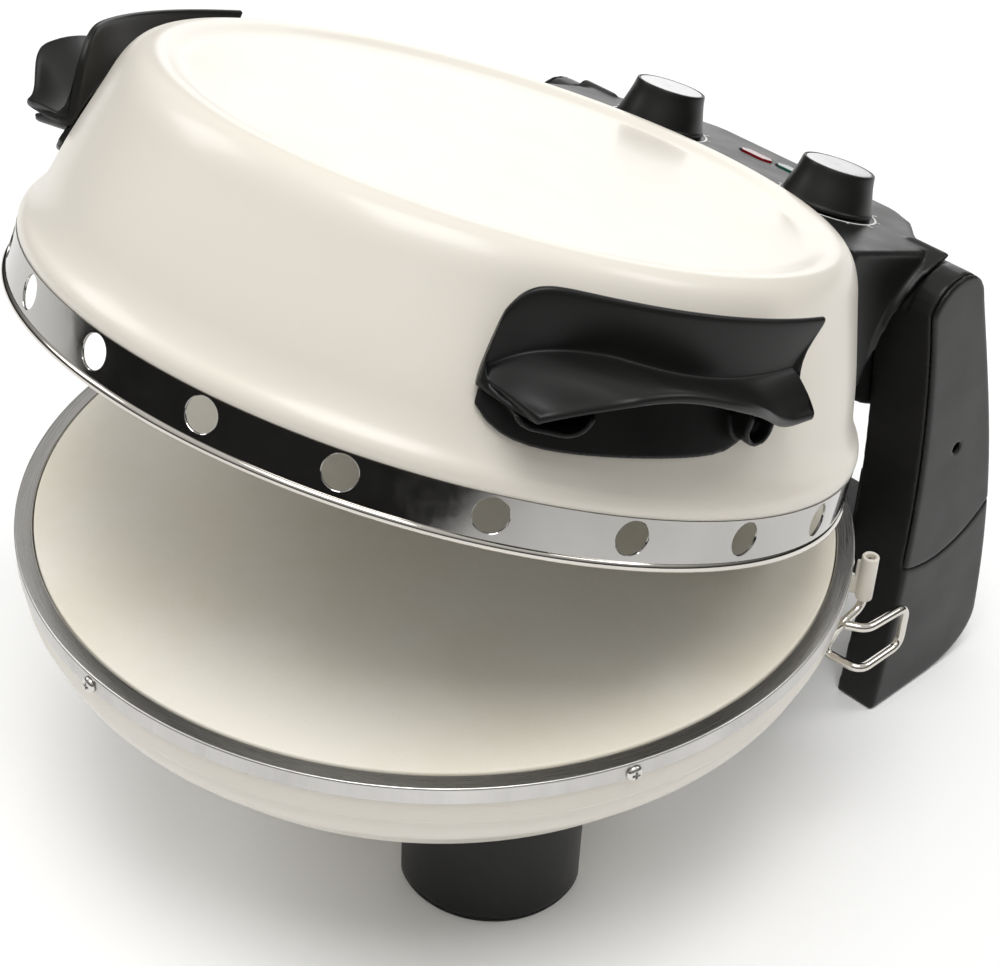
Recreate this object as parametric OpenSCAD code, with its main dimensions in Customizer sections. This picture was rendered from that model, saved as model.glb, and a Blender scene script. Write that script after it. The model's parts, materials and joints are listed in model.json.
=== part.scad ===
// Countertop stone oven with a hinged domed lid.
// Origin: on the table, under the centre of the stone.
// +X is the right-hand side, -Y the front, +Y the hinge side, +Z up. Millimetres.
// The lid is drawn at its own axis and lip plane, then set at its rest angle.

/* [Cooking well] */
// Diameter of the refractory stone
stone_d = 310; // [290:2:330]
// Thickness of the stone
stone_t = 12; // [10:0.5:13]
// Height of the ring's top face above the table
ring_z = 130; // [124:1:140]
// Width of the ring's flat top face
ring_w = 7.25; // [6.5:0.25:9]
// Height of the ring's upright side
ring_h = 7; // [6.5:0.5:8]
// Sheet thickness of the ring
ring_t = 1.2; // [1:0.1:1.5]
// Sheet thickness of the pan
pan_t = 1.5; // [1.2:0.1:2]
// Number of screws round the ring
ring_screw_n = 5; // [3:1:8]

/* [Lid] */
// Angle at which the lid stands open at rest
lid_open = 19.8; // [10:0.1:40]
// Sheet thickness of the dome
shell_t = 1.2; // [1:0.1:1.6]
// Height of the polished band round the lip
band_h = 16; // [15:0.5:16.5]
// Vent holes in a full turn of the band
vent_n = 21; // [15:1:24]
// Diameter of each vent hole
vent_d = 11.8; // [8:0.2:12]

/* [Heating] */
// Diameter of the tube of both heating elements
tube_d = 6.5; // [5.5:0.25:7]
// Radius of the lower heating loop
loop_r = 108; // [95:1:115]

/* [Handles] */
// Angle from the front at which each grip starts
grip_a0 = 45.6; // [42:0.2:50]
// Angle from the front at which each grip ends
grip_a1 = 87; // [80:0.5:88]
// Thickness of the guard and shelf of a grip
grip_t = 3; // [2.6:0.1:3.4]

/* [Panel and knobs] */
// Distance of each knob from the middle
knob_x = 45.2; // [40:0.2:48]
// Radius of a knob at its foot
knob_r = 19; // [17:0.2:19.6]
// Height of a knob
knob_h = 16.4; // [14:0.2:20]

/* [Uprights] */
// Distance of the outer face of each upright from the middle
upright_x = 113; // [112:0.5:120]
// Depth of each upright beyond the hood that turns over it
cover_d = 13; // [11:0.5:14]
// Thickness of the outer cover plate
plate_t = 2; // [1.6:0.1:2.6]
// Wall thickness of the moulded covers
wall = 2.4; // [2:0.1:3]

/* [Output] */
// Which node to draw

/* [Hidden] */
$fn = 64;
clear = 0.1;
stone_r = stone_d / 2;
ring_r = stone_r + ring_w;
lip_r = ring_r - 3.35;
ledge_r = stone_r - 9;
pan_z = ring_z - 52;
reflect_z = ring_z - 34;
screw_r = 1.6;
// the hinge line, in the base frame
hinge_y = ring_r + 15.75;
hinge_z = ring_z + 51;
pin_r = 4;
// where the lid's lip centre sits when it is shut
shut_y = 2.3;
shut_z = ring_z + 2.5;
// the hinge line, in the lid's own frame
lid_hy = hinge_y - shut_y;
lid_hz = hinge_z - shut_z;
post_x0 = upright_x - 30.2;
cover_x0 = upright_x - cover_d;
post_reach = 35.5;
hood_r = 37;
arm_x1 = post_x0 - 0.6;
arm_x0 = arm_x1 - wall;
panel_z = 81.6;
floor_z = 25;
gland_z = floor_z + 27;
knob_y = lid_hy - 28.2;
shaft_r = 3;
loop_z = reflect_z + 10;
top_loop_z = 56;
bail_y = 96;
bail_x = sqrt(pow(ring_r + 5.86, 2) - bail_y * bail_y);
wire_r = 1.75;

function unit(v) = v / norm(v);
// point on a cubic curve
function cub(a, b, c, d, t) =
    pow(1 - t, 3) * a + 3 * t * pow(1 - t, 2) * b + 3 * t * t * (1 - t) * c + t * t * t * d;
// the curve as n points, without its last
function curve(a, b, c, d, n) = [for (i = [0:n - 1]) cub(a, b, c, d, i / n)];
// an arc as n + 1 points
function arc(c, r, a0, a1, n) = [for (i = [0:n]) c + r * [cos(a0 + (a1 - a0) * i / n),
    sin(a0 + (a1 - a0) * i / n)]];
function along(p, i) = unit(p[min(i + 1, len(p) - 1)] - p[max(i - 1, 0)]);
// a sheet of thickness t drawn to one side of the path p
function sheet(p, t) = concat(p,
    [for (i = [len(p) - 1:-1:0]) p[i] + t * [-along(p, i)[1], along(p, i)[0]]]);
// corners of the path w eased with radius e
function eased(w, e, n) = concat([w[0]], [for (i = [1:len(w) - 2])
    let (a = w[i] + e * unit(w[i - 1] - w[i]), b = w[i] + e * unit(w[i + 1] - w[i]))
    for (k = [0:n]) let (s = k / n)
    pow(1 - s, 2) * a + 2 * s * (1 - s) * w[i] + s * s * b], [w[len(w) - 1]]);

// a round bar along the path p
module bar(p, r, n = 10) {
    m = len(p);
    t = [for (i = [0:m - 1]) along(p, i)];
    u0 = unit(cross(t[0], abs(t[0][2]) > 0.7 ? [1, 0, 0] : [0, 0, 1]));
    u = [for (i = 0, v = u0; i < m; i = i + 1,
        v = i < m ? unit(v - (v * t[i]) * t[i]) : v) v];
    pts = [for (i = [0:m - 1]) let (w = cross(t[i], u[i]))
        for (k = [0:n - 1]) p[i] + r * (cos(360 * k / n) * u[i] + sin(360 * k / n) * w)];
    sides = [for (i = [0:m - 2]) for (k = [0:n - 1])
        let (a = i * n + k, b = i * n + (k + 1) % n)
        for (f = [[a, b, a + n], [b, b + n, a + n]]) f];
    ends = concat([for (k = [1:n - 2]) [0, k + 1, k]],
        [for (k = [1:n - 2]) [(m - 1) * n, (m - 1) * n + k, (m - 1) * n + k + 1]]);
    polyhedron([for (q = pts) q], [for (f = concat(sides, ends)) [f[0], f[2], f[1]]]);
}

// a solid through the sections s, all with the same number of points
module loft(s) {
    m = len(s);
    n = len(s[0]);
    sides = [for (i = [0:m - 2]) for (k = [0:n - 1])
        let (a = i * n + k, b = i * n + (k + 1) % n)
        for (f = [[a, a + n, b], [b, a + n, b + n]]) f];
    ends = [[for (k = [0:n - 1]) k], [for (k = [0:n - 1]) m * n - 1 - k]];
    polyhedron([for (q = s) for (v = q) v], concat(sides, ends), convexity = 6);
}

module mirrored() {
    children();
    mirror([1, 0, 0]) children();
}

// an upright cut by the plane x = const: outline in y and z, drawn in by d
function upright_line(d) = let (
        top = [hinge_y - 12.1, hinge_z + 19.6], tr = 17.3 - d,
        foot = [hinge_y + 31, 21 + d],
        f0 = [hinge_y - 18.9 + d, d], f3 = top + tr * [cos(163), sin(163)],
        r0 = top + tr * [cos(12), sin(12)], r3 = [hinge_y + 52.4 - d, 21 + d])
    concat(
        curve(f0, [hinge_y - 11 + d, 0.415 * hinge_z], [hinge_y - 10.5 + d, 0.746 * hinge_z],
            f3, 14),
        arc(top, tr, 163, 12, 10),
        curve(r0 + [0.6, -2], [hinge_y + 29 - d, 0.76 * hinge_z],
            [hinge_y + 47 - d, 0.5 * hinge_z], r3, 14),
        curve(r3, [hinge_y + 52.4 - d, 8 + d], [hinge_y + 38 - d, d], [hinge_y + 20, d], 8),
        [[hinge_y + 20, d]]);

// the region outside the upright's inner face, from x0 to x1
module upright_bar(d, x0, x1) {
    translate([x0, 0, 0])
        rotate([90, 0, 90])
            linear_extrude(x1 - x0) polygon(upright_line(d));
}

module disc_x(x0, x1, y, z, r) {
    translate([x0, y, z]) rotate([0, 90, 0]) cylinder(r = r, h = x1 - x0);
}

// block between two corners
module block(a, b) {
    translate(a) cube(b - a);
}

// places a child at angle a from the front, radius r, facing outward along x
module round_at(a, r, z) {
    rotate([0, 0, a - 90]) translate([r, 0, z]) children();
}

// cross-head screw along +x: the head's flat side at x = 0, shank on the -x side
module screw(head_r, head_h, shank_r, shank_l) {
    difference() {
        union() {
            rotate([0, 90, 0]) rotate_extrude() polygon(concat(
                [[0, 0]],
                [for (i = [0:6]) [head_r * cos(15 * i), head_h * (0.3 + 0.7 * sin(15 * i))]],
                [[0, head_h]]
            )) ;
            rotate([0, 90, 0]) rotate_extrude() square([head_r, head_h * 0.31]);
            translate([-shank_l, 0, 0]) rotate([0, 90, 0]) cylinder(r = shank_r, h = shank_l + 0.1);
        }
        for (a = [0, 90]) translate([head_h * 0.45, 0, 0]) rotate([a, 0, 0])
            translate([0, -head_r * 0.58, -head_r * 0.13])
                cube([head_h, head_r * 1.16, head_r * 0.26]);
    }
}

// ---- the cooking well ----

pan_path = concat(
    [[ring_r - ring_t - 0.3, ring_z - 2.6], [ring_r - ring_t - 0.3, ring_z - 16.6],
     [ring_r - ring_t - 0.9, ring_z - 17.6], [ring_r - 3.4, ring_z - 18.2]],
    curve([ring_r - 3.6, ring_z - 19], [ring_r - 4.6, ring_z - 26],
        [ring_r - 7, ring_z - 31], [ring_r - 12, ring_z - 36], 6),
    curve([ring_r - 12, ring_z - 36], [ring_r - 19, ring_z - 43],
        [ring_r - 23, ring_z - 52], [ring_r - 29, pan_z], 6),
    [[ring_r - 29, pan_z], [60, pan_z], [0, pan_z]]);

module base_pan() {
    color("linen") difference() {
        rotate_extrude() polygon(sheet([for (i = [len(pan_path) - 1:-1:0]) pan_path[i]], pan_t));
        for (i = [0:ring_screw_n - 1]) round_at(360 * i / ring_screw_n, ring_r - 8, ring_z - 4.4)
            rotate([0, 90, 0]) cylinder(r = screw_r + clear, h = 12);
        for (s = [-1, 1]) foot_holes(s, pan_z - 1, 4);
        for (s = [-1, 1]) for (y = [80, 110]) translate([s * 55, y, pan_z - 1])
            cylinder(r = screw_r + clear, h = 4);
        for (i = [0:11]) rotate([0, 0, 30 * i]) translate([30, 0, pan_z - 1])
            cylinder(r = 2.5, h = 4);
        mirrored() for (i = [0, 1]) round_at(bail_a + 5 + 5 * i, wall_r - 4, ring_z - 11)
            rotate([0, 90, 0]) cylinder(r = 1.3, h = 8);
    }
}

module trim_ring() {
    color("silver") difference() {
        rotate_extrude() polygon(concat(
            [[stone_r + 0.35, ring_z - 2.3]],
            [[stone_r + 0.35, ring_z - 0.3], [stone_r + 0.7, ring_z]],
            arc([ring_r - 1.1, ring_z - 1.1], 1.1, 90, 0, 5),
            [[ring_r, ring_z - ring_h], [ring_r - ring_t, ring_z - ring_h],
             [ring_r - ring_t, ring_z - ring_t], [stone_r + 1.3, ring_z - ring_t],
             [stone_r + 1.3, ring_z - 2.3]]));
        for (i = [0:ring_screw_n - 1]) round_at(360 * i / ring_screw_n, ring_r - 6, ring_z - 4.4)
            rotate([0, 90, 0]) cylinder(r = screw_r + clear, h = 12);
    }
}

module ring_screws() {
    color("silver") for (i = [0:ring_screw_n - 1])
        round_at(360 * i / ring_screw_n, ring_r + 0.05, ring_z - 4.4) screw(3.1, 1.9, screw_r, 4.4);
}

module stone() {
    top = ring_z + 0.4;
    color("wheat") rotate_extrude() polygon([[0, top - stone_t], [stone_r - 1.2, top - stone_t],
        [stone_r - 0.1, top - stone_t + 1.2], [stone_r - 0.1, top - 0.8],
        [stone_r - 0.9, top], [0, top]]);
}

module reflector() {
    z1 = ring_z + 0.4 - stone_t - clear;
    color("gainsboro") difference() {
        rotate_extrude() polygon(concat(
            [[ring_r - ring_t - 0.4, ring_z - 2.4], [ring_r - ring_t - 0.4, ring_z - 1.5],
             [stone_r + 1.6, ring_z - 1.5], [stone_r + 1.6, z1]],
            curve([ledge_r, z1], [ledge_r - 2, z1 - 10], [ledge_r - 8, reflect_z],
                [ledge_r - 18, reflect_z], 8),
            [[ledge_r - 18, reflect_z], [0, reflect_z], [0, reflect_z - 1],
             [ledge_r - 17.6, reflect_z - 1]],
            [for (i = [7:-1:1]) cub([ledge_r + 1, z1 - 1], [ledge_r - 0.8, z1 - 11],
                [ledge_r - 7, reflect_z - 1], [ledge_r - 17.6, reflect_z - 1], i / 8)],
            [[ledge_r + 1, z1 - 1], [stone_r + 2.4, z1 - 1], [stone_r + 2.4, ring_z - 2.4]]));
        for (s = [-1, 1]) translate([s * 16, loop_r - 1.2, reflect_z - 5])
            cylinder(r = tube_d / 2 + 1.6, h = 10);
        for (a = [0, 120, 240]) round_at(a, loop_r, reflect_z - 3) cylinder(r = 1.7, h = 6);
    }
}

// one heating loop: radius r at height z, legs of length l going down or up
module loop(r, z, l) {
    a0 = asin(16 / r);
    ring = [for (i = [0:60]) let (a = a0 + (360 - 2 * a0) * i / 60) [r * sin(a), r * cos(a), z]];
    s = sign(l);
    lead = [[ring[0][0], ring[0][1], z + l], [ring[0][0], ring[0][1], z + 7 * s],
        [ring[0][0] + 0.8, ring[0][1], z + 3.2 * s], [ring[0][0] + 3.2, ring[0][1] - 0.3, z + 0.6 * s]];
    tail = [for (i = [len(lead) - 1:-1:0]) [-lead[i][0], lead[i][1], lead[i][2]]];
    bar(concat(lead, [for (i = [3:57]) ring[i]], tail), tube_d / 2, 8);
}

module lower_element() {
    color("dimgray") loop(loop_r, loop_z, -17);
}

module bushes(r, z0, z1, zf) {
    for (s = [-1, 1]) translate([s * 16, sqrt(r * r - 256), 0]) difference() {
        union() {
            translate([0, 0, z0]) cylinder(r = tube_d / 2 + 1.5, h = z1 - z0);
            translate([0, 0, zf]) cylinder(r = tube_d / 2 + 3.5, h = 2);
        }
        translate([0, 0, z0 - 1]) cylinder(r = tube_d / 2 + 0.05, h = z1 - z0 + 2);
    }
}

module element_bushes() {
    color("white") bushes(loop_r, reflect_z - 4, reflect_z + 2.1, reflect_z + 0.05);
}

// saddle under or over a heating tube, standing on the plane z = 0 towards +z
module saddle(h) {
    difference() {
        union() {
            block([-9, -4, 0], [9, 4, 1.2]);
            block([-tube_d / 2 - 1.3, -4, 0], [tube_d / 2 + 1.3, 4, h]);
        }
        translate([0, -6, h]) rotate([-90, 0, 0]) cylinder(r = tube_d / 2 + 0.15, h = 12);
        block([-tube_d / 2 + 1, -6, 2.6], [tube_d / 2 - 1, 6, h]);
    }
    translate([0, 0, -4]) cylinder(r = 1.6, h = 4.1);
}

module lower_clips() {
    color("silver") for (a = [0, 120, 240]) round_at(a, loop_r, reflect_z + 0.05)
        saddle(loop_z - reflect_z - 0.05);
}

// ---- feet and carrier ----

// a front foot's outline: the part of a circle beyond a chord
foot_at = [64.7, -25.6];
foot_rad = 37.4;

module foot_body(s, d, z0, z1) {
    intersection() {
        translate([s * foot_at[0], foot_at[1], z0]) cylinder(r = foot_rad - d, h = z1 - z0);
        translate([s * foot_at[0], foot_at[1], z0]) rotate([0, 0, s > 0 ? -45 : -135])
            translate([11.4 + d, -50, 0]) cube([50, 100, z1 - z0]);
    }
}

// centres of a foot's two screws
function foot_hole(s, i) = [s * (foot_at[0] + 18.5 - i * 14), foot_at[1] - 4.5 - i * 14];

module foot_holes(s, z0, h) {
    for (i = [0, 1]) translate([foot_hole(s, i)[0], foot_hole(s, i)[1], z0])
        cylinder(r = screw_r + clear, h = h);
}

module front_foot(s) {
    color("#202020") difference() {
        union() {
            difference() {
                foot_body(s, 0, 1.2, pan_z - 0.1);
                foot_body(s, wall, -1, pan_z - 3);
            }
            intersection() {
                foot_body(s, 1, 8, pan_z - 2);
                union() {
                    for (i = [0, 1]) translate([foot_hole(s, i)[0], foot_hole(s, i)[1], pan_z - 18])
                        cylinder(r = 4, h = 20);
                    translate([s * foot_at[0], foot_at[1], 8]) rotate([0, 0, s > 0 ? -45 : -135])
                        translate([10, -1.2, 0]) cube([40, 2.4, pan_z - 8]);
                }
            }
        }
        foot_holes(s, pan_z - 28, 40);
    }
}

module front_foot_right() {
    front_foot(1);
}

module front_foot_left() {
    front_foot(-1);
}

module foot_pads() {
    color("#303030") for (s = [-1, 1]) difference() {
        union() {
            foot_body(s, 0.6, 0, 1.1);
            foot_body(s, wall + 0.15, 0, 5);
        }
        foot_body(s, wall + 3, 2, 6);
        translate([s * foot_at[0], foot_at[1], -1]) rotate([0, 0, s > 0 ? -45 : -135])
            translate([10, -1.4, 0]) cube([40, 2.8, 0.5]);
    }
}

module foot_screws() {
    color("silver") for (s = [-1, 1]) for (i = [0, 1])
        translate([foot_hole(s, i)[0], foot_hole(s, i)[1], pan_z + pan_t + 0.05])
            rotate([0, -90, 0]) screw(3, 1.8, screw_r, 14);
}

carrier_z = pan_z - 3.2;
module carrier() {
    y1 = hinge_y + 20;
    x1 = post_x0 - 0.2;
    color("#303030") difference() {
        union() {
            block([-x1, 66, carrier_z], [x1, y1, pan_z - 0.2]);
            for (s = [-1, 1]) block([s > 0 ? x1 - 3 : -x1, hinge_y - 9, carrier_z],
                [s > 0 ? x1 : -x1 + 3, y1, carrier_z + 34]);
            block([-x1, y1 - 3, carrier_z - 10], [x1, y1, carrier_z]);
            block([-x1, 66, carrier_z - 10], [x1, 69, carrier_z]);
        }
        for (s = [-1, 1]) for (y = [80, 110]) translate([s * 55, y, carrier_z - 1])
            cylinder(r = screw_r + clear, h = 8);
        for (s = [-1, 1]) for (z = [10, 26]) disc_x(s > 0 ? x1 - 6 : -x1 - 2, s > 0 ? x1 + 2 : -x1 + 6,
            hinge_y + 8, carrier_z + z, screw_r + clear);
        for (s = [-1, 0, 1]) translate([s * 50, hinge_y - 30, carrier_z - 1])
            cylinder(r = 15, h = 6);
    }
}

module carrier_screws() {
    x1 = post_x0 - 0.2;
    color("silver") {
        for (s = [-1, 1]) for (y = [80, 110]) translate([s * 55, y, pan_z + pan_t + 0.05])
            rotate([0, -90, 0]) screw(3, 1.8, screw_r, 5);
        mirrored() for (z = [10, 26]) translate([x1 - 3.05, hinge_y + 8, carrier_z + z])
            mirror([1, 0, 0]) screw(3, 1.8, screw_r, 6.2);
    }
}

// ---- uprights ----

post_z0 = 60;
seam_at = [hinge_y + 5.1, ring_z - 6.5];
seam_r = 50.6;
cover_screw_z = ring_z + 0.3;
cover_screw_y = hinge_y + 6.9;

// everything above the curved seam, drawn in by g
module above_seam(g) {
    disc_x(0, 200, seam_at[0], seam_at[1], seam_r - g);
    block([0, hinge_y - 90, ring_z - 30], [200, hinge_y + 90, hinge_z + 90]);
}

// room of the inner part, whose round top turns under the hood, drawn in by d
module inner_room(d) {
    block([0, hinge_y - 60, post_z0 - (d > 0 ? 1 : 0)], [200, hinge_y + 70, hinge_z]);
    disc_x(post_x0 - 1, cover_x0 + 1, hinge_y, hinge_z, post_reach - d);
}

// ribs and bosses left standing inside the upright
module upright_ribs() {
    disc_x(post_x0, upright_x - plate_t - 4, hinge_y, hinge_z, 9);
    disc_x(post_x0, cover_x0 + wall + 0.5, cover_screw_y, cover_screw_z, 5);
    for (z = [hinge_z - 78, hinge_z - 34]) block([post_x0, hinge_y - 30, z],
        [upright_x - plate_t - 3, hinge_y + 60, z + 2]);
    block([post_x0, hinge_y - 1, post_z0], [cover_x0, hinge_y + 1, hinge_z - 8]);
    for (z = [18, 40]) block([cover_x0 - 7, hinge_y - 30, z], [upright_x - 1, hinge_y + 90, z + 2]);
}

module post() {
    color("#262626") difference() {
        union() {
            intersection() {
                upright_bar(0, post_x0, cover_x0 + 0.5);
                inner_room(0);
            }
            intersection() {
                upright_bar(0, cover_x0 - 6.5, cover_x0 + 0.5);
                block([0, hinge_y - 60, -1], [200, hinge_y + 90, post_z0 + 1]);
            }
            upright_bar(0, cover_x0, upright_x - 0.9);
            upright_bar(0.9, cover_x0, upright_x);
        }
        // hollow of the inner part and the foot
        difference() {
            union() {
                intersection() {
                    upright_bar(wall, post_x0 + wall, cover_x0);
                    inner_room(wall);
                }
                intersection() {
                    upright_bar(wall, cover_x0 - 6.5 + wall, cover_x0);
                    block([0, hinge_y - 60, -1], [200, hinge_y + 90, post_z0 + 1]);
                }
            }
            upright_ribs();
        }
        // hollow of the outer part
        difference() {
            union() {
                upright_bar(wall, cover_x0 + wall, upright_x - wall);
                intersection() {
                    upright_bar(wall, cover_x0 + wall, upright_x);
                    above_seam(1.6);
                }
            }
            upright_ribs();
        }
        // seat of the cover plate
        intersection() {
            upright_bar(-1, upright_x - plate_t - 0.15, upright_x + 1);
            above_seam(-0.1);
        }
        disc_x(post_x0 - 1, upright_x, hinge_y, hinge_z, pin_r + 0.05);
        disc_x(cover_x0 + wall + 2, upright_x + 1, hinge_y, hinge_z, pin_r + 2.3);
        disc_x(post_x0 + 6, cover_x0 + wall + 1, cover_screw_y, cover_screw_z, screw_r + clear);
        for (z = [10, 26]) disc_x(post_x0 - 1, post_x0 + 6, hinge_y + 8, carrier_z + z,
            screw_r + clear);
    }
}

module post_right() {
    post();
}

module post_left() {
    mirror([1, 0, 0]) post();
}

module cover() {
    x0 = cover_x0 + wall + 0.6;
    color("#262626") difference() {
        union() {
            intersection() {
                union() {
                    upright_bar(0.9, upright_x - plate_t, upright_x);
                    upright_bar(0, upright_x - plate_t, upright_x - 0.9);
                }
                above_seam(0.25);
            }
            disc_x(x0, upright_x - 1, cover_screw_y, cover_screw_z, 5.5);
        }
        disc_x(x0 + 2, upright_x - plate_t, cover_screw_y, cover_screw_z, 3.9);
        disc_x(x0 + 1, upright_x + 1, cover_screw_y, cover_screw_z, 2.4);
        disc_x(x0 - 1, x0 + 3, cover_screw_y, cover_screw_z, screw_r + clear);
    }
}

module cover_right() {
    cover();
}

module cover_left() {
    mirror([1, 0, 0]) cover();
}

module cover_screws() {
    color("silver") mirrored() translate([cover_x0 + wall + 2.65, cover_screw_y, cover_screw_z])
        screw(3.4, 2, screw_r, 11);
}

module hinge_pins() {
    color("silver") mirrored() difference() {
        union() {
            disc_x(arm_x0 - 6.5, cover_x0 + wall + 2.2, hinge_y, hinge_z, pin_r);
            disc_x(cover_x0 + wall + 2.1, cover_x0 + wall + 3.8, hinge_y, hinge_z, pin_r + 2);
        }
        difference() {
            disc_x(arm_x0 - 5.2, arm_x0 - 4.2, hinge_y, hinge_z, pin_r + 1);
            disc_x(arm_x0 - 6, arm_x0 - 4, hinge_y, hinge_z, pin_r - 0.8);
        }
    }
}

module hinge_clips() {
    color("dimgray") mirrored() difference() {
        disc_x(arm_x0 - 5.15, arm_x0 - 4.25, hinge_y, hinge_z, 7);
        disc_x(arm_x0 - 6, arm_x0 - 4, hinge_y, hinge_z, pin_r - 0.75);
        block([arm_x0 - 6, hinge_y - 2.6, hinge_z - 10], [arm_x0 - 4, hinge_y + 2.6, hinge_z]);
    }
}

// ---- bails ----

bail_a = atan2(bail_x, -bail_y);
wall_r = ring_r - ring_t - 0.05;

module bail_bracket(s) {
    z0 = ring_z - 16;
    z1 = ring_z + 4;
    color("linen") difference() {
        union() {
            translate([bail_x, bail_y, z0]) cylinder(r = 3.3, h = z1 - z0);
            rotate([0, 0, bail_a - 90]) rotate_extrude(angle = 13) translate([wall_r, z0 + 1])
                square([1.3, ring_z - ring_h - 0.4 - z0 - 1]);
            round_at(bail_a, wall_r, z0 + 1) block([0, 0, 0], [6, 1.3, 8]);
            round_at(bail_a, ring_r + 1.2, z0 + 1) block([0, 0, 0], [4, 1.3, 16]);
        }
        translate([bail_x, bail_y, z0 - 1]) cylinder(r = wire_r + 0.08, h = 30);
        for (i = [0, 1]) round_at(bail_a + 5 + 5 * i, wall_r - 3, z0 + 5)
            rotate([0, 90, 0]) cylinder(r = 1.3, h = 12);
    }
}

module bail_bracket_right() {
    bail_bracket(1);
}

module bail_bracket_left() {
    mirror([1, 0, 0]) bail_bracket(1);
}

module bracket_screws() {
    color("silver") mirrored() for (i = [0, 1])
        round_at(bail_a + 5 + 5 * i, wall_r + 1.35, ring_z - 11) screw(2.2, 1.3, 1.2, 3);
}

module bail() {
    z0 = ring_z - 16;
    way = [[bail_x, bail_y, z0 + 18], [bail_x, bail_y, z0 - 4.3],
        [bail_x, bail_y - 13, z0 - 7], [bail_x - 5, bail_y - 14, z0 - 22.5],
        [bail_x + 12, bail_y - 12, z0 - 22.5], [bail_x + 12, bail_y + 12, z0 - 22.5],
        [bail_x + 12, bail_y + 12, z0 - 3.5], [bail_x + 11, bail_y - 11, z0 - 3],
        [bail_x + 3.2, bail_y - 16, z0 - 2.5]];
    color("silver") bar(eased(way, 4, 4), wire_r, 10);
}

module bail_right() {
    bail();
}

module bail_left() {
    mirror([1, 0, 0]) bail();
}

// ---- the lid, in its own frame ----

module on_lid() {
    translate([0, hinge_y, hinge_z]) rotate([-lid_open, 0, 0])
        translate([0, -lid_hy, -lid_hz]) children();
}

shell_path = concat(
    curve([lip_r - 1.3, band_h + 0.1], [lip_r - 0.5, 18], [lip_r - 0.7, 21], [lip_r - 3.4, 23.6], 6),
    curve([lip_r - 3.4, 23.6], [lip_r - 5.5, 26], [lip_r - 7.5, 31], [lip_r - 8.6, 35.6], 4),
    curve([lip_r - 8.6, 35.6], [lip_r - 11.5, 47], [lip_r - 16.5, 60], [lip_r - 20.9, 73.1], 5),
    curve([lip_r - 20.9, 73.1], [lip_r - 23.5, 81], [lip_r - 27, 86.5], [lip_r - 33, 86.9], 8),
    curve([lip_r - 33, 86.9], [lip_r - 39, 87.1], [lip_r - 40, 84.1], [lip_r - 47, 84.1], 5),
    [[lip_r - 47, 84.1], [0, 84.1]]);

// radius of the lid's sloping wall at height z
function wall_at(z) = lip_r - 8.1 - 0.328 * (z - 35.6);

module lid_shell() {
    color("linen") on_lid() difference() {
        rotate_extrude() polygon(sheet(shell_path, shell_t));
        for (a = grip_hole_a) for (s = [-1, 1]) round_at(s * a, lip_r - 25, grip_hole_z)
            rotate([0, 90, 0]) cylinder(r = 2, h = 40);
        for (s = [-1, 1]) translate([s * 30, lip_r - 30, 66]) rotate([-90, 0, 0])
            cylinder(r = 5, h = 30);
    }
}

module vent_band() {
    color("gainsboro") on_lid() difference() {
        rotate_extrude() polygon([[lip_r - 1, 0], [lip_r, 0], [lip_r - 0.9, band_h],
            [lip_r - 1.9, band_h]]);
        for (i = [0:vent_n - 1]) let (a = 360 * i / vent_n) if (abs(a - 180) > 34)
            round_at(a, lip_r - 8, 9.2) rotate([0, 90, 0]) cylinder(r = vent_d / 2, h = 16);
    }
}

module lid_lip() {
    color("silver") on_lid() rotate_extrude() difference() {
        translate([lip_r - 0.5, -0.2]) circle(r = 1.6, $fn = 24);
        translate([lip_r - 1.15, -0.08]) square([1.25, 4]);
    }
}

module lid_liner() {
    path = concat([[lip_r - 2.5, band_h - 0.8], [lip_r - 2.5, 19.4], [lip_r - 4, 20.4], [lip_r - 14, 20.6]],
        curve([lip_r - 16, 21.4], [lip_r - 20, 40], [lip_r - 24, 68], [lip_r - 46, 71], 9),
        [[lip_r - 46, 71], [0, 71]]);
    color("silver") on_lid() difference() {
        rotate_extrude() polygon(sheet(path, 0.9));
        for (s = [-1, 1]) translate([s * 16, sqrt(pow(loop_r - 6, 2) - 256), 60])
            cylinder(r = tube_d / 2 + 1.6, h = 20);
        for (a = [60, 180, 300]) round_at(a, loop_r - 6, 60) cylinder(r = 1.7, h = 20);
        for (a = [30, 150, 210, 330]) round_at(a, lip_r - 9, 10) cylinder(r = 1.5, h = 20);
    }
}

module upper_element() {
    color("dimgray") on_lid() loop(loop_r - 6, top_loop_z, 23);
}

module upper_bushes() {
    color("white") on_lid() bushes(loop_r - 6, 66, 74, 68.05);
}

module upper_clips() {
    color("silver") on_lid() for (a = [60, 180, 300]) round_at(a, loop_r - 6, 70.05)
        mirror([0, 0, 1]) saddle(70.05 - top_loop_z);
}

module liner_screws() {
    color("silver") on_lid() for (a = [30, 150, 210, 330]) round_at(a, lip_r - 9, 19.5)
        rotate([0, 90, 0]) screw(2.6, 1.5, 1.4, 3);
}

// ---- grips ----

// line of the inner corner, height of the guard, and edge of the shelf, for t from 0 to 1
function crease_z(t) = 64 - 14.9 * pow(1 - t, 9) - 2.6 * sin(180 * max(0, (t - 0.35) / 0.6))
    + 1.6 * pow(t, 8);
function guard_z(t) = 80 - 11 * pow(1 - t, 26) + 2 * pow(t, 3);
function shelf_z(t) = 55.3 - 8 * pow(1 - t, 5) + 1.3 * pow(t, 6);
function shelf_r(t) = lip_r - 2.3 + 12.8 * pow(1 - t, 2.6) + 4 * pow(t, 3);
function on_round(a, r, z) = [r * sin(a), -r * cos(a), z];
function spread(a0, a1, t) = a0 + (a1 - a0) * t;

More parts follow.
